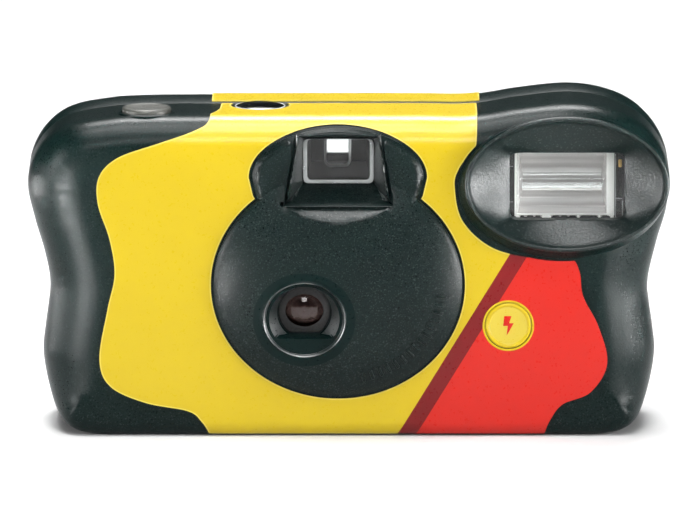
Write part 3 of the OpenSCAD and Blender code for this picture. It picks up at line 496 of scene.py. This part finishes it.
def panel_height(x, z):
    """How far the panel stands in front of the body's face, before PANEL_RISE.

    It starts from the dome and the arch together. The shelf, the finder's mouth and the lens seat are then cut in,
    and fine ridges are laid along the mouth's sides and round the lens rim.
    """
    d = arch_depth(x, z)
    h = soft_max(dome_height(x, z), ease(d / 0.9) if d > 0 else -0.5, 0.9 if z > 40 else 0.35)
    dx = abs(x - FINDER[0])
    low = shelf_low(dx)
    if dx < SHELF_W and low < z < SILL_Z + 0.4:
        h = min(h, mix(dome_height(x, low), 1.0, (z - low) / max(0.05, SILL_Z - low)))
    up = (z - SILL_Z) / (MOUTH[2] - SILL_Z)
    wide = mix(MOUTH[0], MOUTH[1], up)
    if dx < wide + 1.5 and -0.05 < up < 1.15:
        side = 2.6 - 7.6 * (wide - dx) / (wide - FINDER_W / 2)
        sill = 1 - 6 * (z - SILL_Z) / (FINDER[1] - FINDER_H / 2 - SILL_Z)
        top = 1 - 6 * (MOUTH[2] - z) / 1.2
        h = soft_min(h, max(side, sill, top, -5.0), 0.1)
        if 0.0 < up < 1.0:
            h += 0.2 * math.exp(-((dx - wide - 0.1) / 0.15) ** 2)
    r = rim_radius(x, z)
    if r < 7.6:
        throat = lens_radius(x, z) - THROAT_R
        wall = SEAT_H + max(0.0, r - RIM_W) / 0.22 * 1.6
        cone = SEAT_H - CONE_H * max(0.0, CONE_R - r) / max(0.05, CONE_R - r + max(0.0, throat))
        sill = SEAT_H - CONE_H * max(0.0, z - LENS_SILL_Z) / LENS_SILL_RISE
        h = soft_min(h, max(min(wall, max(cone, sill)) if r < RIM_W else wall, SEAT_H - CONE_H), 0.14)
    if RIM_W < r < 8.4:
        h += 0.2 * math.exp(-((r - 7.45) / 0.17) ** 2)
    return h


def panel_rim(grow, n=420):
    """Outline of the round panel and the arch together, found along rays from a point inside both."""
    out = []
    for i in range(n):
        a = 2 * math.pi * i / n
        lo, hi = 1.0, 40.0
        for _ in range(40):
            r = (lo + hi) / 2
            x, z = PANEL[0] + r * math.cos(a), RAY_Z + r * math.sin(a)
            lo, hi = (r, hi) if dome_height(x, z) > 0 or arch_depth(x, z) > 0 else (lo, r)
        out.append((PANEL[0] + (lo + grow) * math.cos(a), RAY_Z + (lo + grow) * math.sin(a)))
    return out


def sheet(outer, curves, spacing, keep):
    """Triangles that fill the outer loop, with edges along every curve and points at about one spacing."""
    points, edges = [], []
    for loop, closed in [(outer, True)] + curves:
        start = len(points)
        points += [Vector(p) for p in loop]
        edges += [(start + i, start + i + 1) for i in range(len(loop) - 1)]
        if closed:
            edges.append((len(points) - 1, start))
    taken = {(round(p.x / spacing), round(p.y / spacing)) for p in points}
    xs, zs = [p[0] for p in outer], [p[1] for p in outer]
    row, z = 0, min(zs)
    while z < max(zs):
        x = min(xs) + (row % 2) * spacing / 2
        while x < max(xs):
            if (round(x / spacing), round(z / spacing)) not in taken and keep(x, z):
                points.append(Vector((x, z)))
            x += spacing
        row, z = row + 1, z + spacing * 0.87
    verts, _, faces, *_ = delaunay_2d_cdt(points, edges, [list(range(len(outer)))], 1, 1e-4)
    return [tuple(v) for v in verts], faces


def ring_at(r, n):
    """Closed curve round the lens at one rim_radius."""
    return ellipse(RIM, r, r * RIM_H / RIM_W, n), True


def inside_panel(x, z):
    return dome_height(x, z) > 0.9 or arch_depth(x, z) > 0.25


def shelf_edge():
    """Where the sloping shelf meets the dome."""
    return [(FINDER[0] + dx, shelf_low(dx)) for dx in (SHELF_W * (i / 24 - 1) for i in range(1, 48))]


def mouth(o):
    """Corners of the finder's mouth, moved out by o."""
    x, (low, high, top) = FINDER[0], MOUTH
    return [(x - low - o, SILL_Z - o), (x + low + o, SILL_Z - o), (x + high + o, top + o), (x - high - o, top + o)]


def in_lens_cone(x, z):
    """On the sloping wall between the seat and the throat, above the flat sill."""
    return lens_radius(x, z) > THROAT_R + 0.1 and rim_radius(x, z) < CONE_R and z > LENS_SILL_Z + 0.45


def panel_material(centre, normal):
    """Slot of a face of the panel: 0 grained, 1 smooth round the lens, 2 the shelf, 3 the walls that catch light."""
    x, y, z = centre
    dx, r = x - FINDER[0], rim_radius(x, z)
    if in_lens_cone(x, z) or 6.95 < r < 7.4:
        return 3
    if z > SILL_Z and abs(normal.x) > 0.5 and abs(dx) < MOUTH[0] and y > FRONT_Y - 0.9:
        return 3
    if shelf_low(dx) < z < SILL_Z and abs(dx) < SHELF_W:
        return 2
    return 1 if r < SEAT_R else 0


def pulled(bm, edges, y):
    """Draws a row of open edges out to one depth."""
    for v in bmesh.ops.extrude_edge_only(bm, edges=edges)["geom"]:
        if isinstance(v, bmesh.types.BMVert):
            v.co.y = y


def build_panel():
    """Sheet of the panel with its skirt and the wall of the lens throat."""
    rim, inner = panel_rim(0.0), panel_rim(-0.16)
    window = [(FINDER[0] + sx * FINDER_W / 2, FINDER[1] + sz * FINDER_H / 2)
              for sx, sz in ((-1, -1), (1, -1), (1, 1), (-1, 1))]
    curves = [(inner, True), (panel_rim(-0.5), True), (window, True), (shelf_edge(), False)]
    curves += [(mouth(o), True) for o in (-0.14, 0.0, 0.1, 0.22, 0.36)]
    curves += [([a, b], False) for a, b in zip(mouth(-0.14), window)]
    curves += [ring_at(r, n) for r, n in ((SEAT_R, 120), (7.8, 132), (7.62, 132), (7.45, 132), (7.3, 132), (7.2, 132),
                                          (7.12, 132), (7.0, 132), (6.52, 120), (CONE_R, 120), (6.28, 120))]
    curves += [(ellipse(LENS, r, r, 96), True) for r in (THROAT_R, 4.95)]
    curves += [([(LENS[0] - 4.6, LENS_SILL_Z + o), (LENS[0] + 4.6, LENS_SILL_Z + o)], False)
               for o in (-0.08, 0.05, LENS_SILL_RISE)]
    points, faces = sheet(rim, curves, 0.5, inside_panel)
    edge = {(round(x, 3), round(z, 3)) for x, z in rim}
    verts = []
    for x, z in points:
        h = panel_height(x, z)
        if (round(x, 3), round(z, 3)) in edge:  # a little below the panel just inside its edge
            h = panel_height(mix(PANEL[0], x, 0.99), mix(RAY_Z, z, 0.99)) - 0.2
        verts.append((x, FRONT_Y - (h if h < 0 else h * PANEL_RISE), z))
    kept = []
    for f in faces:
        x, z = (sum(points[i][k] for i in f) / len(f) for k in (0, 1))
        in_window = abs(x - FINDER[0]) < FINDER_W / 2 and abs(z - FINDER[1]) < FINDER_H / 2
        in_throat = lens_radius(x, z) < THROAT_R and z > LENS_SILL_Z + 0.45
        if not (in_window or in_throat):
            kept.append(f)
    obj = make_mesh("lens_panel", verts, kept)
    bm = bmesh.new()
    bm.from_mesh(obj.data)
    bmesh.ops.remove_doubles(bm, verts=bm.verts, dist=0.01)
    for f in bm.faces:
        if f.normal.y > 0:
            f.normal_flip()
    pulled(bm, [e for e in bm.edges if e.is_boundary and any(
        (round(v.co.x, 3), round(v.co.z, 3)) in edge for v in e.verts)], FRONT_Y + 0.4)
    pulled(bm, [e for e in bm.edges if e.is_boundary and all(
        lens_radius(v.co.x, v.co.z) < THROAT_R + 0.1 for v in e.verts)], THROAT_Y)
    for f in bm.faces:
        f.material_index = panel_material(f.calc_center_median(), f.normal)
    bm.to_mesh(obj.data)
    bm.free()
    piece(obj, "lens_panel", [PANEL_BLACK, SMOOTH_BLACK, BOWL, CONE], sharp=40)


build_panel()


# Flash bezel: flared foot, rounded rim and a bowl that runs in to the square window
def build_bezel():
    """One skin from the foot behind the cover, over the rim and down the bowl to the flash window."""
    def at(points, y):
        return [(x, y, z) for x, z in points]

    def oval(t, inset):
        return bezel_oval(t, -inset, 240)

    def window_point(x, z):
        """Edge of the window in the direction of a point on the bowl's mouth, corners eased."""
        dx, dz = (x - FLASH[0]) / (FLASH_W / 2), (z - FLASH[1]) / (FLASH_H / 2)
        k = (abs(dx) ** squareness + abs(dz) ** squareness) ** (-1 / squareness)
        return FLASH[0] + dx * k * FLASH_W / 2, FLASH[1] + dz * k * FLASH_H / 2

    squareness, bowl_y, window_y = 14, FRONT_Y + 2.1, FRONT_Y + 4.75
    rings = [at(oval(0, 0), y) for y in (-10.4, -16.6, -17.15)]
    rings += [at(oval(t, 0), mix(-17.2, -18.75, t)) for t in (0.08, 0.35, 0.65, 0.9, 1.0)]
    rim = [(0.02, -18.95), (0.08, -19.15), (0.2, -19.3), (0.36, -19.38), (0.55, -19.4), (0.7, -19.38), (0.8, -19.28),
           (0.87, -19.1), (0.92, -18.9)]
    rings += [at(oval(1, inset), y) for inset, y in rim]
    mouth_inset, mouth_y = rim[-1]
    mouth_ring = oval(1, mouth_inset)
    square = [window_point(x, z) for x, z in mouth_ring]
    for t in (i / 16 for i in range(1, 17)):
        rings.append([(mix(x, u, t), mix(mouth_y, bowl_y, t ** 0.85), mix(z, v, t))
                      for (x, z), (u, v) in zip(mouth_ring, square)])
    rings += [at(square, bowl_y + 0.12), at(square, window_y)]
    obj = skin("flash_bezel", rings, cap_start=False, cap_end=False)
    for f in obj.data.polygons:
        across = (f.center.x - BEZEL[0] - BEZEL_RIM_SHIFT[0]) / (BEZEL_W + BEZEL_RIM_GROW[0])
        up = (f.center.z - BEZEL[1] - BEZEL_RIM_SHIFT[1]) / (BEZEL_H + BEZEL_RIM_GROW[1])
        f.material_index = 1 if math.hypot(across, up) < 0.99 else 0
    piece(obj, "flash_bezel", [BLACK, BOWL], sharp=50)


build_bezel()


# Printed labels: thin sheets over the covers, cut to their outlines and divided into plain colour fields
label_points = [
    (-25, DECK_H + 9), (-25, DECK_H + 3), (-25.4, DECK_H - 0.5), (-28.1, DECK_H - 2.2), (-35, DECK_H - 4.5),
    (-42, DECK_H - 7), (-45.4, DECK_H - 10.5), (-45.6, DECK_H - 15.5), (-43.5, 36.5), (-42.6, 30),
    (-43.9, 23.6), (-45.4, 14.4), (-43.4, 9.3), (-37, 6.3), (-29.4, 4.8), (-26.9, 2.9), (-25.4, 0.2),
    (-24.6, -4), (-24.6, -9), (35, -9), (35, -4), (35.6, 0.4), (36.8, 3.4), (39, 6.1), (44, 8.3),
    (47, 13.6), (45.4, 20.4), (42.6, 26), (41.9, 30.6), (40, 33.2), (34, 33), (26, 35), (20.6, 40),
    (19.2, 46.4), (19.9, 49.4), (21.2, 51.3), (22.7, 52.8), (23.2, 55), (23.3, DECK_H + 3),
    (23.3, DECK_H + 9)]
rear_label_points = [
    (-25, DECK_H + 9), (-25, DECK_H + 3), (-25.4, 45), (-28, 38), (-40, 33), (-41, 22), (-38, 9), (-27, 5),
    (-25, -3), (-25, -9), (34, -9), (34, -3), (36, 5), (43, 9), (44, 20), (42, 36), (36, 48), (26, 54),
    (23.4, DECK_H + 3), (23.4, DECK_H + 9)]


def offset(points, grow):
    """Closed smooth loop moved outwards by grow; the loop runs anticlockwise or clockwise alike."""
    n = len(points)
    area = sum(points[i][0] * points[(i + 1) % n][1] - points[(i + 1) % n][0] * points[i][1] for i in range(n))
    turn, out = (1 if area > 0 else -1), []
    for i in range(n):
        (ax, az), (bx, bz) = points[i - 1], points[(i + 1) % n]
        size = math.hypot(bx - ax, bz - az) or 1.0
        out.append((points[i][0] + turn * grow * (bz - az) / size, points[i][1] - turn * grow * (bx - ax) / size))
    return out


def fields(obj, lines, choose):
    """Cuts a label along straight lines of the front view and gives each face its field's colour."""
    bm = bmesh.new()
    bm.from_mesh(obj.data)
    for (x0, z0), (x1, z1) in lines:
        bmesh.ops.bisect_plane(bm, geom=bm.verts[:] + bm.edges[:] + bm.faces[:], dist=1e-4,
                               plane_co=(x0, 0, z0), plane_no=(z1 - z0, 0, x0 - x1))
    for f in bm.faces:
        c = f.calc_center_median()
        f.material_index = choose(c.x, c.z)
    bm.to_mesh(obj.data)
    bm.free()


def side_of(line, x, z):
    (x0, z0), (x1, z1) = line
    return (x1 - x0) * (z - z0) - (z1 - z0) * (x - x0)


def label(points, side, face_y, sign, openings, grow, out, under):
    """Sheet between two heights above a cover, cut to its outline and round its openings; grow shrinks or widens it."""
    obj = cover("label", side, face_y, sign, out, under, SEAM_Y + sign * (LABEL_EDGE - grow))
    y0, y1 = (FRONT_Y - 3, 10.0) if sign < 0 else (0.0, BACK_Y + 3)
    carve(obj, [prism_y(offset(closed_curve(points, 10), grow), y0, y1),
                block(-HALF_W, HALF_W, -30, 30, 0.4 - grow, DECK_H + 6)], "INTERSECT")
    return carve(obj, openings(-grow))


def right_corner(x, y, r):
    """What lies outside the round right corner of a label on the deck."""
    arc = [(x - r * (1 - math.sin(a)), y - r * (1 - math.cos(a))) for a in (math.pi / 2 * k / 12 for k in range(13))]
    return prism_z([(x - r, y + 2), *arc, (x + 2, y - r), (x + 2, y + 2)], DECK_H - 2, DECK_H + 5)


def label_window(gap):
    return round_z(WINDOW, WINDOW_R + 0.8 + gap, DECK_H - 3, DECK_H + 5)


def front_openings(gap):
    """What the front label leaves free, with a slanted left corner and a round right one at its joint."""
    joint = SEAM_Y - LABEL_EDGE - gap
    edge = [(-23.2, joint + 2), (-23.2, joint), (-23.5, -5.5), (-24.1, -8.5), (-25.0, -11), (-26.4, -13)]
    slant = prism_z([(x + gap, y) for x, y in edge] + [(-31, -13), (-31, joint + 2)], DECK_H - 2, DECK_H + 5)
    return [slant, right_corner(23.3 - gap, joint, 1.2), *panel_cutters(0.5 + gap, -24, -3),
            bezel_cutter(0.5 + gap, -24, -3), round_y(CHARGE, CHARGE_R + CONTROL_GAP + gap, -20, -14),
            label_window(gap)]


def rear_openings(gap):
    return [prism_y(rounded_box(FINDER, 8.8 + 2 * gap, 8.6 + 2 * gap, 1.2), 13, 20),
            round_y(READY_LIGHT, READY_CLEAR_R + gap, 13, 20, 48), label_window(gap)]


# Edges of the red field and of the dark band beside it, slanted in front and level behind
RED_LINE, BAND_LINE = ((12.0, 0.0), (34.0, 36.0)), ((8.6, 0.0), (30.6, 36.0))
REAR_RED_Z, REAR_BAND_Z = 17.0, 19.4
BORDER, PRINT_T, BORDER_T, STOCK_GAP = 0.24, 0.22, 0.21, 0.02


def front_field(x, z):
    """Slot of a point on the front label: 0 yellow, 1 red, 2 dark red."""
    if side_of(RED_LINE, x, z) < 0:
        return 1
    return 2 if side_of(BAND_LINE, x, z) < 0 else 0


def rear_field(x, z):
    return 1 if z < REAR_RED_Z else 2 if z < REAR_BAND_Z else 0


def build_label(name, points, side, face_y, sign, openings, lines, choose, node):
    """Printed sheet and, round it, the thin unprinted border that shows the pale label stock.
    The border's pale colour is partly that stock and partly a painted highlight along the label's edge.
    """
    border = label(points, side, face_y, sign, openings, 0.0, BORDER_T, STOCK_GAP)
    carve(border, [label(points, side, face_y, sign, openings, -BORDER, 1.2, -1.0)])
    printed = label(points, side, face_y, sign, openings, -BORDER, PRINT_T, STOCK_GAP)
    for obj, tag, first in ((printed, "_print", YELLOW), (border, "_border", LABEL_STOCK_AND_HIGHLIGHT)):
        fields(obj, lines, choose)
        piece(obj, name + tag, [first, RED, DARK_RED], nodes=[node])


build_label("front_label", label_points, GRIP_R, FRONT_Y, -1, front_openings, [RED_LINE, BAND_LINE], front_field,
            "front_label")
build_label("rear_label", rear_label_points, BACK_R, BACK_Y, 1, rear_openings,
            [((-60.0, z), (60.0, z)) for z in (REAR_RED_Z, REAR_BAND_Z)], rear_field, "rear_label")

# Rear cover, with the eyepiece's hole, the thumb wheel's slot and the ready light's hole
rear = cover("rear_shell", BACK_R, BACK_Y, 1, 0.0, -WALL, SEAM_Y + SEAM_GAP, lip=SEAM_LIP)
carve(rear, [block(FINDER[0] - 2.9, FINDER[0] + 2.9, 12, 22, FINDER[1] - 3.2, FINDER[1] + 2.8),
             block(-49.5, -27.5, 12, 22, 45.3, 50.3), round_y(READY_LIGHT, READY_HOLE_R, 12, 22, 48)]
      + window_cutters(WINDOW_GAP) + door_cutters())
piece(dark_seam(rear), "rear_shell", [BLACK, SMOOTH_BLACK], nodes=["rear_cover"])


# Small pieces that the photograph shows on the front and the top
def bar(x0, x1, y0, y1, z0, z1, ease_by=0.12):
    """Small bar with eased edges on its front."""
    centre, w, h = ((x0 + x1) / 2, (z0 + z1) / 2), x1 - x0, z1 - z0
    r = min(w, h) * 0.3
    front = [(0.0, y1), (0.0, y0 + ease_by), (ease_by * 0.35, y0 + ease_by * 0.35), (ease_by, y0)]
    return skin("bar", [[(x, y, z) for x, z in rounded_box(centre, w - 2 * i, h - 2 * i, max(0.02, r - i))]
                        for i, y in front])


def joined(objs, name):
    """One mesh from several, all still in millimetres."""
    bm = bmesh.new()
    for o in objs:
        bm.from_mesh(o.data)
        bpy.data.objects.remove(o)
    obj = make_mesh(name, [], [])
    bm.to_mesh(obj.data)
    bm.free()
    return obj


def frame_loop(outer, inner, y_back, y_front):
    """Raised frame between two loops of equal length, eased on its front edges."""
    def between(t):
        return [(mix(a[0], b[0], t), mix(a[1], b[1], t)) for a, b in zip(outer, inner)]

    steps = [(0.0, y_back), (0.0, mix(y_front, y_back, 0.35)), (0.08, mix(y_front, y_back, 0.1)), (0.22, y_front),
             (0.78, y_front), (0.92, mix(y_front, y_back, 0.1)), (1.0, mix(y_front, y_back, 0.35)), (1.0, y_back)]
    return skin("frame", [[(x, y, z) for x, z in between(t)] for t, y in steps], cap_start=False, cap_end=False)


def build_flash():
    """Fluted trough reflector with its end walls, the dark tray round it and the small fittings behind the window."""
    left, right, mouth_y, half, deep, count = 30.5, 46.9, -10.95, 6.0, 6.0, 96
    flute, flutes = 0.14, 6
    inner, outer = [], []
    for i in range(count + 1):
        t = -1 + 2 * i / count
        y = mouth_y + deep * (1 - t * t)
        inner.append((y + flute * math.cos(t * math.pi * flutes) * (1 - t ** 8), FLASH[1] + half * t))
        outer.append((mouth_y + (deep + 0.45) * (1 - t * t) + 0.02, FLASH[1] + (half + 0.2) * t))
    loop = inner + outer[::-1]
    trough = skin("trough", [[(x, y, z) for y, z in loop] for x in (left, right)])
    walls = []
    for x, lean in ((left, 0.9), (right, -0.9)):
        walls.append(skin("wall", [[(x + lean * max(0.0, (y - mouth_y) / deep) + thick, y, z) for y, z in inner[2:-2]]
                                   for thick in (0, 0.3)]))
    # The trough's foil carries painted reflection bands.
    piece(joined([trough] + walls, "reflector"), "flash_reflector_trough", [MIRROR],
          nodes=["flash_reflector"], sharp=35)
    low, high = FLASH[1] - half, FLASH[1] + half
    face_y, clip_y = -10.98, -10.9
    tray = block(28.6, 50.8, clip_y, -10.55, low - 0.7, high + 0.7)
    carve(tray, [block(30.4, 48.3, -12, -9, low, high)])
    piece(tray, "flash_tray", [INNER])
    posts = [bar(x0, x1, face_y, -9.6, low - 0.15, high) for x0, x1 in ((46.95, 48.3), (30.1, 30.5))]
    rails = [bar(30.1, 48.3, face_y, back_y, z0, z1)
             for back_y, z0, z1 in ((-10.5, low + 0.1, low + 0.4), (-10.6, low - 0.95, low - 0.75))]
    piece(joined(posts + rails, "frame"), "flash_frame", [WHITE])
    clips = [bar(x0, x1, clip_y, -10.6, z0, z1)
             for x0, x1, z0, z1 in ((48.5, 50.1, low + 3.4, high), (48.5, 49.6, low + 0.6, low + 2.9),
                                    (29.1, 29.9, low + 2.6, high - 3.2), (29.3, 29.9, high - 2.6, high))]
    piece(joined(clips, "clips"), "flash_clips", [GREEN_CLEAR])
    # Thin pale lines along the clips and posts: painted highlights on the edges of the clear parts.
    line = 0.16
    lines = [bar(x, x + line, face_y, -10.7, z, z + h) for x, z, h in
             ((48.42, low - 0.6, 12.0), (50.14, low + 3.4, 8.0), (49.7, low - 0.4, 3.2), (28.95, low + 2.6, 6.2))]
    lines += [bar(x, x + w, face_y, -10.7, z, z + line) for x, w, z in
              ((48.5, 1.3, low + 3.1), (48.5, 1.3, low - 0.5), (29.0, 0.9, low + 2.45), (29.0, 0.9, high - 3.0))]
    piece(joined(lines, "lines"), "flash_clear_edges", [CLEAR_EDGE])
    piece(bar(49.0, 49.7, -10.97, -10.7, high - 3.1, high - 1.6), "flash_contact", [BRASS])
    teeth = [bar(x, x + w, -10.99, -10.6, low - 0.72, low + 0.04, 0.04)
             for x, w in ((31.2, 0.7), (32.4, 1.2), (33.9, 1.0), (37.0, 1.3), (38.6, 1.2), (40.1, 1.2), (42.2, 3.0),
                          (46.0, 1.4))]
    piece(joined(teeth, "teeth"), "flash_contacts_row", [INNER])
    bridges = [bar(x, x + w, face_y, -10.6, low - 0.7, low + 0.1, 0.04)
               for x, w in ((30.4, 0.7), (35.1, 1.7), (41.5, 0.5), (45.4, 0.4), (47.6, 0.6))]
    piece(joined(bridges, "bridges"), "flash_sill", [WHITE])


def build_charge():
    """Charge button with a rolled rim and a paler dished middle, its plain bolt sign and the printed ring round it."""
    profile = [(5.2, -14.2), (5.2, -15.08), (4.2, -15.1), (4.2, -17.0), (4.14, -17.18), (4.0, -17.27), (3.82, -17.3),
               (3.66, -17.27), (3.55, -17.2), (3.46, -17.13), (3.3, -17.1), (2.0, -17.12), (0.02, -17.13)]
    disc = lathe_y("charge", profile, *CHARGE, n=96)
    for f in disc.data.polygons:
        c = f.center
        f.material_index = 1 if math.hypot(c.x - CHARGE[0], c.z - CHARGE[1]) < 3.5 and c.y < -16.9 else 0
    piece(disc, "charge_disc", [YELLOW, PALE_YELLOW], body="charge", nodes=["charge_button"])
    sign = [(0.55, 1.75), (-0.75, 1.75), (-0.95, -0.05), (-0.12, -0.05), (-0.3, -1.85), (0.98, 0.45), (0.16, 0.45)]
    bolt = skin("bolt", [[(CHARGE[0] + x * k, y, CHARGE[1] + z * k) for x, z in sign]
                         for k, y in ((1.0, -17.05), (1.0, -17.16), (0.96, -17.18))])
    piece(bolt, "charge_sign", [RED], body="charge")
    outer, inner = (ellipse(CHARGE, r, r, 96) for r in (4.7, 4.3))
    piece(frame_loop(outer, inner, FRONT_Y - 0.1, FRONT_Y - 0.25), "charge_ring", [YELLOW])


def build_ticks():
    """Plain raised ribs along the lower right of the panel."""
    first, step, count = -76, 5, 15
    out_x, out_z = PANEL_W - 3.7, PANEL_H - 3.4
    length, width, corner_r = 2.0, 0.62, 0.29
    ribs = []
    for k in range(count):
        a = math.radians(first + step * k)
        along, across = (math.cos(a), math.sin(a)), (-math.sin(a), math.cos(a))
        loops = []
        for inset, lift in ((0.0, -0.25), (0.0, 0.14), (0.06, 0.25), (0.16, 0.3)):
            ring = rounded_box((0, 0), length - 2 * inset, width - 2 * inset, corner_r - inset, steps=4)
            loop = []
            for u, v in ring:
                x = PANEL[0] + (out_x + u) * along[0] + v * across[0]
                z = PANEL[1] + (out_z + u) * along[1] + v * across[1]
                loop.append((x, FRONT_Y - dome_height(x, z) * PANEL_RISE - lift, z))
            loops.append(loop)
        ribs.append(skin("rib", loops))
    piece(joined(ribs, "ribs"), "panel_ribs", [PANEL_BLACK])


def build_button():
    """Shutter button with its stem, its flange and a dished top, and the low collar round it."""
    profile = [(2.0, 52.6), (2.0, 54.8), (5.6, 54.82), (5.6, 56.0), (BUTTON_R, 56.02), (BUTTON_R, 58.85), (4.46, 59.1),
               (4.36, 59.3), (4.2, 59.43), (4.0, 59.48), (3.8, 59.46), (3.6, 59.4), (3.0, 59.34), (1.8, 59.3),
               (0.02, 59.28)]
    piece(lathe_z("button", profile, *BUTTON, n=96), "shutter_button_cap", [SILVER], body="button",
          nodes=["shutter_button"])
    ring = [(4.66, 57.6), (4.66, 58.52), (4.74, 58.6), (4.95, 58.6), (5.15, 58.48), (5.3, 57.6)]
    piece(lathe_z("collar", ring, *BUTTON, n=96, cap_start=False, cap_end=False), "button_collar", [BLACK])


def build_window_rim():
    """Edge of the counter window, a thin round bead; its pale colour is a painted highlight along the clear window's
    edge.
    """
    bead = [(WINDOW_R - 0.1 + r * math.cos(a), DECK_H + r * math.sin(a))
            for r, a in ((0.15, math.tau * i / 12) for i in range(13))]
    piece(lathe_z("window_rim", bead, *WINDOW, n=96, cap_start=False, cap_end=False), "counter_window_rim",
          [CLEAR_EDGE])


def build_finder():
    """Clear rims of the finder's front window and of its inner frame, and the frame round the eyepiece behind."""
    x, z = FINDER
    outer, inner = rounded_box(FINDER, 12.9, 8.2, 1.0), rounded_box((x, z + 0.3), 11.3, 7.5, 0.7)
    # The pale rims are painted highlights along the edges of the clear windows.
    piece(frame_loop(outer, inner, -11.8, -12.35), "finder_rim", [CLEAR_EDGE])
    outer, inner = rounded_box((x - 0.2, z - 0.5), 6.0, 7.0, 1.4), rounded_box((x - 0.2, z - 0.2), 4.8, 6.4, 0.9)
    piece(frame_loop(outer, inner, 5.6, 4.8), "finder_inner_frame", [CLEAR_EDGE])
    outer, inner = rounded_box(FINDER, 8.6, 8.4, 1.1), rounded_box((x, z - 0.2), 5.8, 6.0, 0.4)
    piece(frame_loop(outer, inner, 16.6, 17.55), "eyepiece_frame", [BLACK])


def build_lens_mask():
    """Dark plate behind the panel's throat, with the oval opening that the lens shows through."""
    # The plate itself is real, but its opening is lower than it is wide. Where it covers the top of the lens it is
    # painted shade: a dark sheet standing in for the shadow that falls there.
    outer, inner = ellipse(LENS, 4.78, 4.78, 72), ellipse((LENS[0], LENS[1] + 0.1), 3.45, 3.0, 72)
    piece(frame_loop(outer, inner, -15.22, -15.55), "lens_mask", [INNER])


build_flash()
build_charge()
build_ticks()
build_button()
build_window_rim()
build_finder()
build_lens_mask()


# CAD nodes that are shown as they are; light passes the clear ones, so that what lies behind them isn't in the dark
SEE_THROUGH = (CLEAR, SMOKED, LENS_CLEAR)
DRESS = {
    "film_door": BLACK, "chassis": INNER, "lens_retainer": INNER, "aperture_plate": INNER, "taking_lens": LENS_CLEAR,
    "shutter_blade": DARK_STEEL, "drive_lever": WHITE, "drive_spring": STEEL, "metering_lever": WHITE,
    "finder_front_lens": CLEAR, "finder_eyepiece": CLEAR, "counter_window": SMOKED,
    "counter_disc": SILVER, "advance_wheel": BLACK, "ratchet_pawl": INNER, "cassette_shell": CAN, "cassette_caps": CAP,
    "cassette_spool": INNER, "film_strip": FILM, "film_roll": FILM, "supply_spool": INNER, "sprocket": WHITE,
    "flash_window": CLEAR, "flash_tube": CLEAR, "flash_board": BOARD,
    "flash_capacitor": SLEEVE, "step_up_transformer": COIL, "trigger_coil": COIL, "sync_contacts": BRASS,
    "battery": CELL, "battery_contacts": BRASS, "ready_light": AMBER, "charge_contact": BRASS}
for name, mat in DRESS.items():
    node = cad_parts[name]
    node.data.materials.clear()
    node.data.materials.append(mat)
    node.visible_shadow = mat not in SEE_THROUGH
    node.data.shade_smooth()
    node.data.set_sharp_from_angle(angle=math.radians(30))


# Stage, in metres: plain pale floor, soft lights and the camera at the photograph's angle
def build_floor():
    half = 3.0
    verts, faces = [(x, y, 0.0) for y in (-half, half) for x in (-half, half)], [(0, 1, 3, 2)]
    floor = make_mesh("floor", verts, faces)
    floor.data.materials.append(surface("pale_floor", (0.6, 0.6, 0.6), (0.58, 0.58, 0.58), 0.8, grain=1.0, depth=0.002,
                                        blotch=4.0))


def soft_light(name, place, aim, size, power, spread):
    """Rectangular light that shines within a cone of spread degrees."""
    data = bpy.data.lights.new(name, "AREA")
    data.shape, data.size, data.size_y, data.energy = "RECTANGLE", size[0], size[1], power
    data.spread = math.radians(spread)
    light = bpy.data.objects.new(name, data)
    light.location = place
    light.rotation_euler = (Vector(aim) - Vector(place)).to_track_quat("-Z", "Y").to_euler()
    bpy.context.scene.collection.objects.link(light)


build_floor()
# Boxes light the camera; pools and spots are bright patches of floor that the black grips and panel mirror
soft_light("top_box", (-0.12, -0.03, 0.83), (-0.02, 0.02, 0.0), (0.33, 0.3), 0.51, 50)
soft_light("shelf_box", (0.0, -0.35, 0.81), (0.0, -0.01, 0.03), (0.4, 0.3), 0.32, 40)
soft_light("front_box", (0.0, -0.9, 0.55), (0.0, 0.0, 0.03), (0.7, 0.3), 0.42, 40)
soft_light("left_box", (-0.65, -0.24, 0.14), (0.0, 0.0, 0.03), (0.24, 0.22), 0.45, 70)
soft_light("right_box", (0.65, -0.24, 0.14), (0.0, 0.0, 0.03), (0.24, 0.22), 0.7, 70)
soft_light("left_pool", (-0.36, 0.06, 0.3), (-0.36, 0.06, 0.0), (0.14, 0.18), 8.0, 50)
soft_light("right_pool", (0.38, -0.13, 0.3), (0.38, -0.13, 0.0), (0.16, 0.3), 27.0, 56)
soft_light("left_spot", (-0.17, -0.16, 0.25), (-0.17, -0.16, 0.0), (0.08, 0.08), 6.5, 30)
soft_light("right_spot", (0.2, -0.19, 0.25), (0.2, -0.19, 0.0), (0.08, 0.08), 5.0, 30)
soft_light("back_box", (0.0, 0.48, 0.85), (0.0, 0.02, 0.03), (0.5, 0.25), 0.35, 40)
soft_light("floor_front", (0.0, -0.95, 0.9), (0.0, -0.75, 0.0), (1.4, 0.5), 3.4, 70)
soft_light("floor_back", (0.0, 0.72, 0.9), (0.0, 0.38, 0.0), (0.5, 0.5), 2.6, 60)
world = bpy.data.worlds.new("studio")
bpy.context.scene.world = world
world.use_nodes = True
world.node_tree.nodes["Background"].inputs["Color"].default_value = (0.92, 0.95, 1.0, 1.0)
world.node_tree.nodes["Background"].inputs["Strength"].default_value = 0.02
bpy.context.scene.view_settings.view_transform = "Standard"

camera = bpy.data.objects.new("camera", bpy.data.cameras.new("camera"))
bpy.context.scene.collection.objects.link(camera)
bpy.context.scene.camera = camera
lift, reach, target = math.radians(10), 2.5, Vector((0.0002, -0.010, 0.0310))
view_w, sensor_w = 0.12757, 36.0
back = Vector((0.0, -math.cos(lift), math.sin(lift)))
camera.location = target + back * reach
camera.rotation_euler = (-back).to_track_quat("-Z", "Y").to_euler()
camera.data.lens = sensor_w * reach / view_w
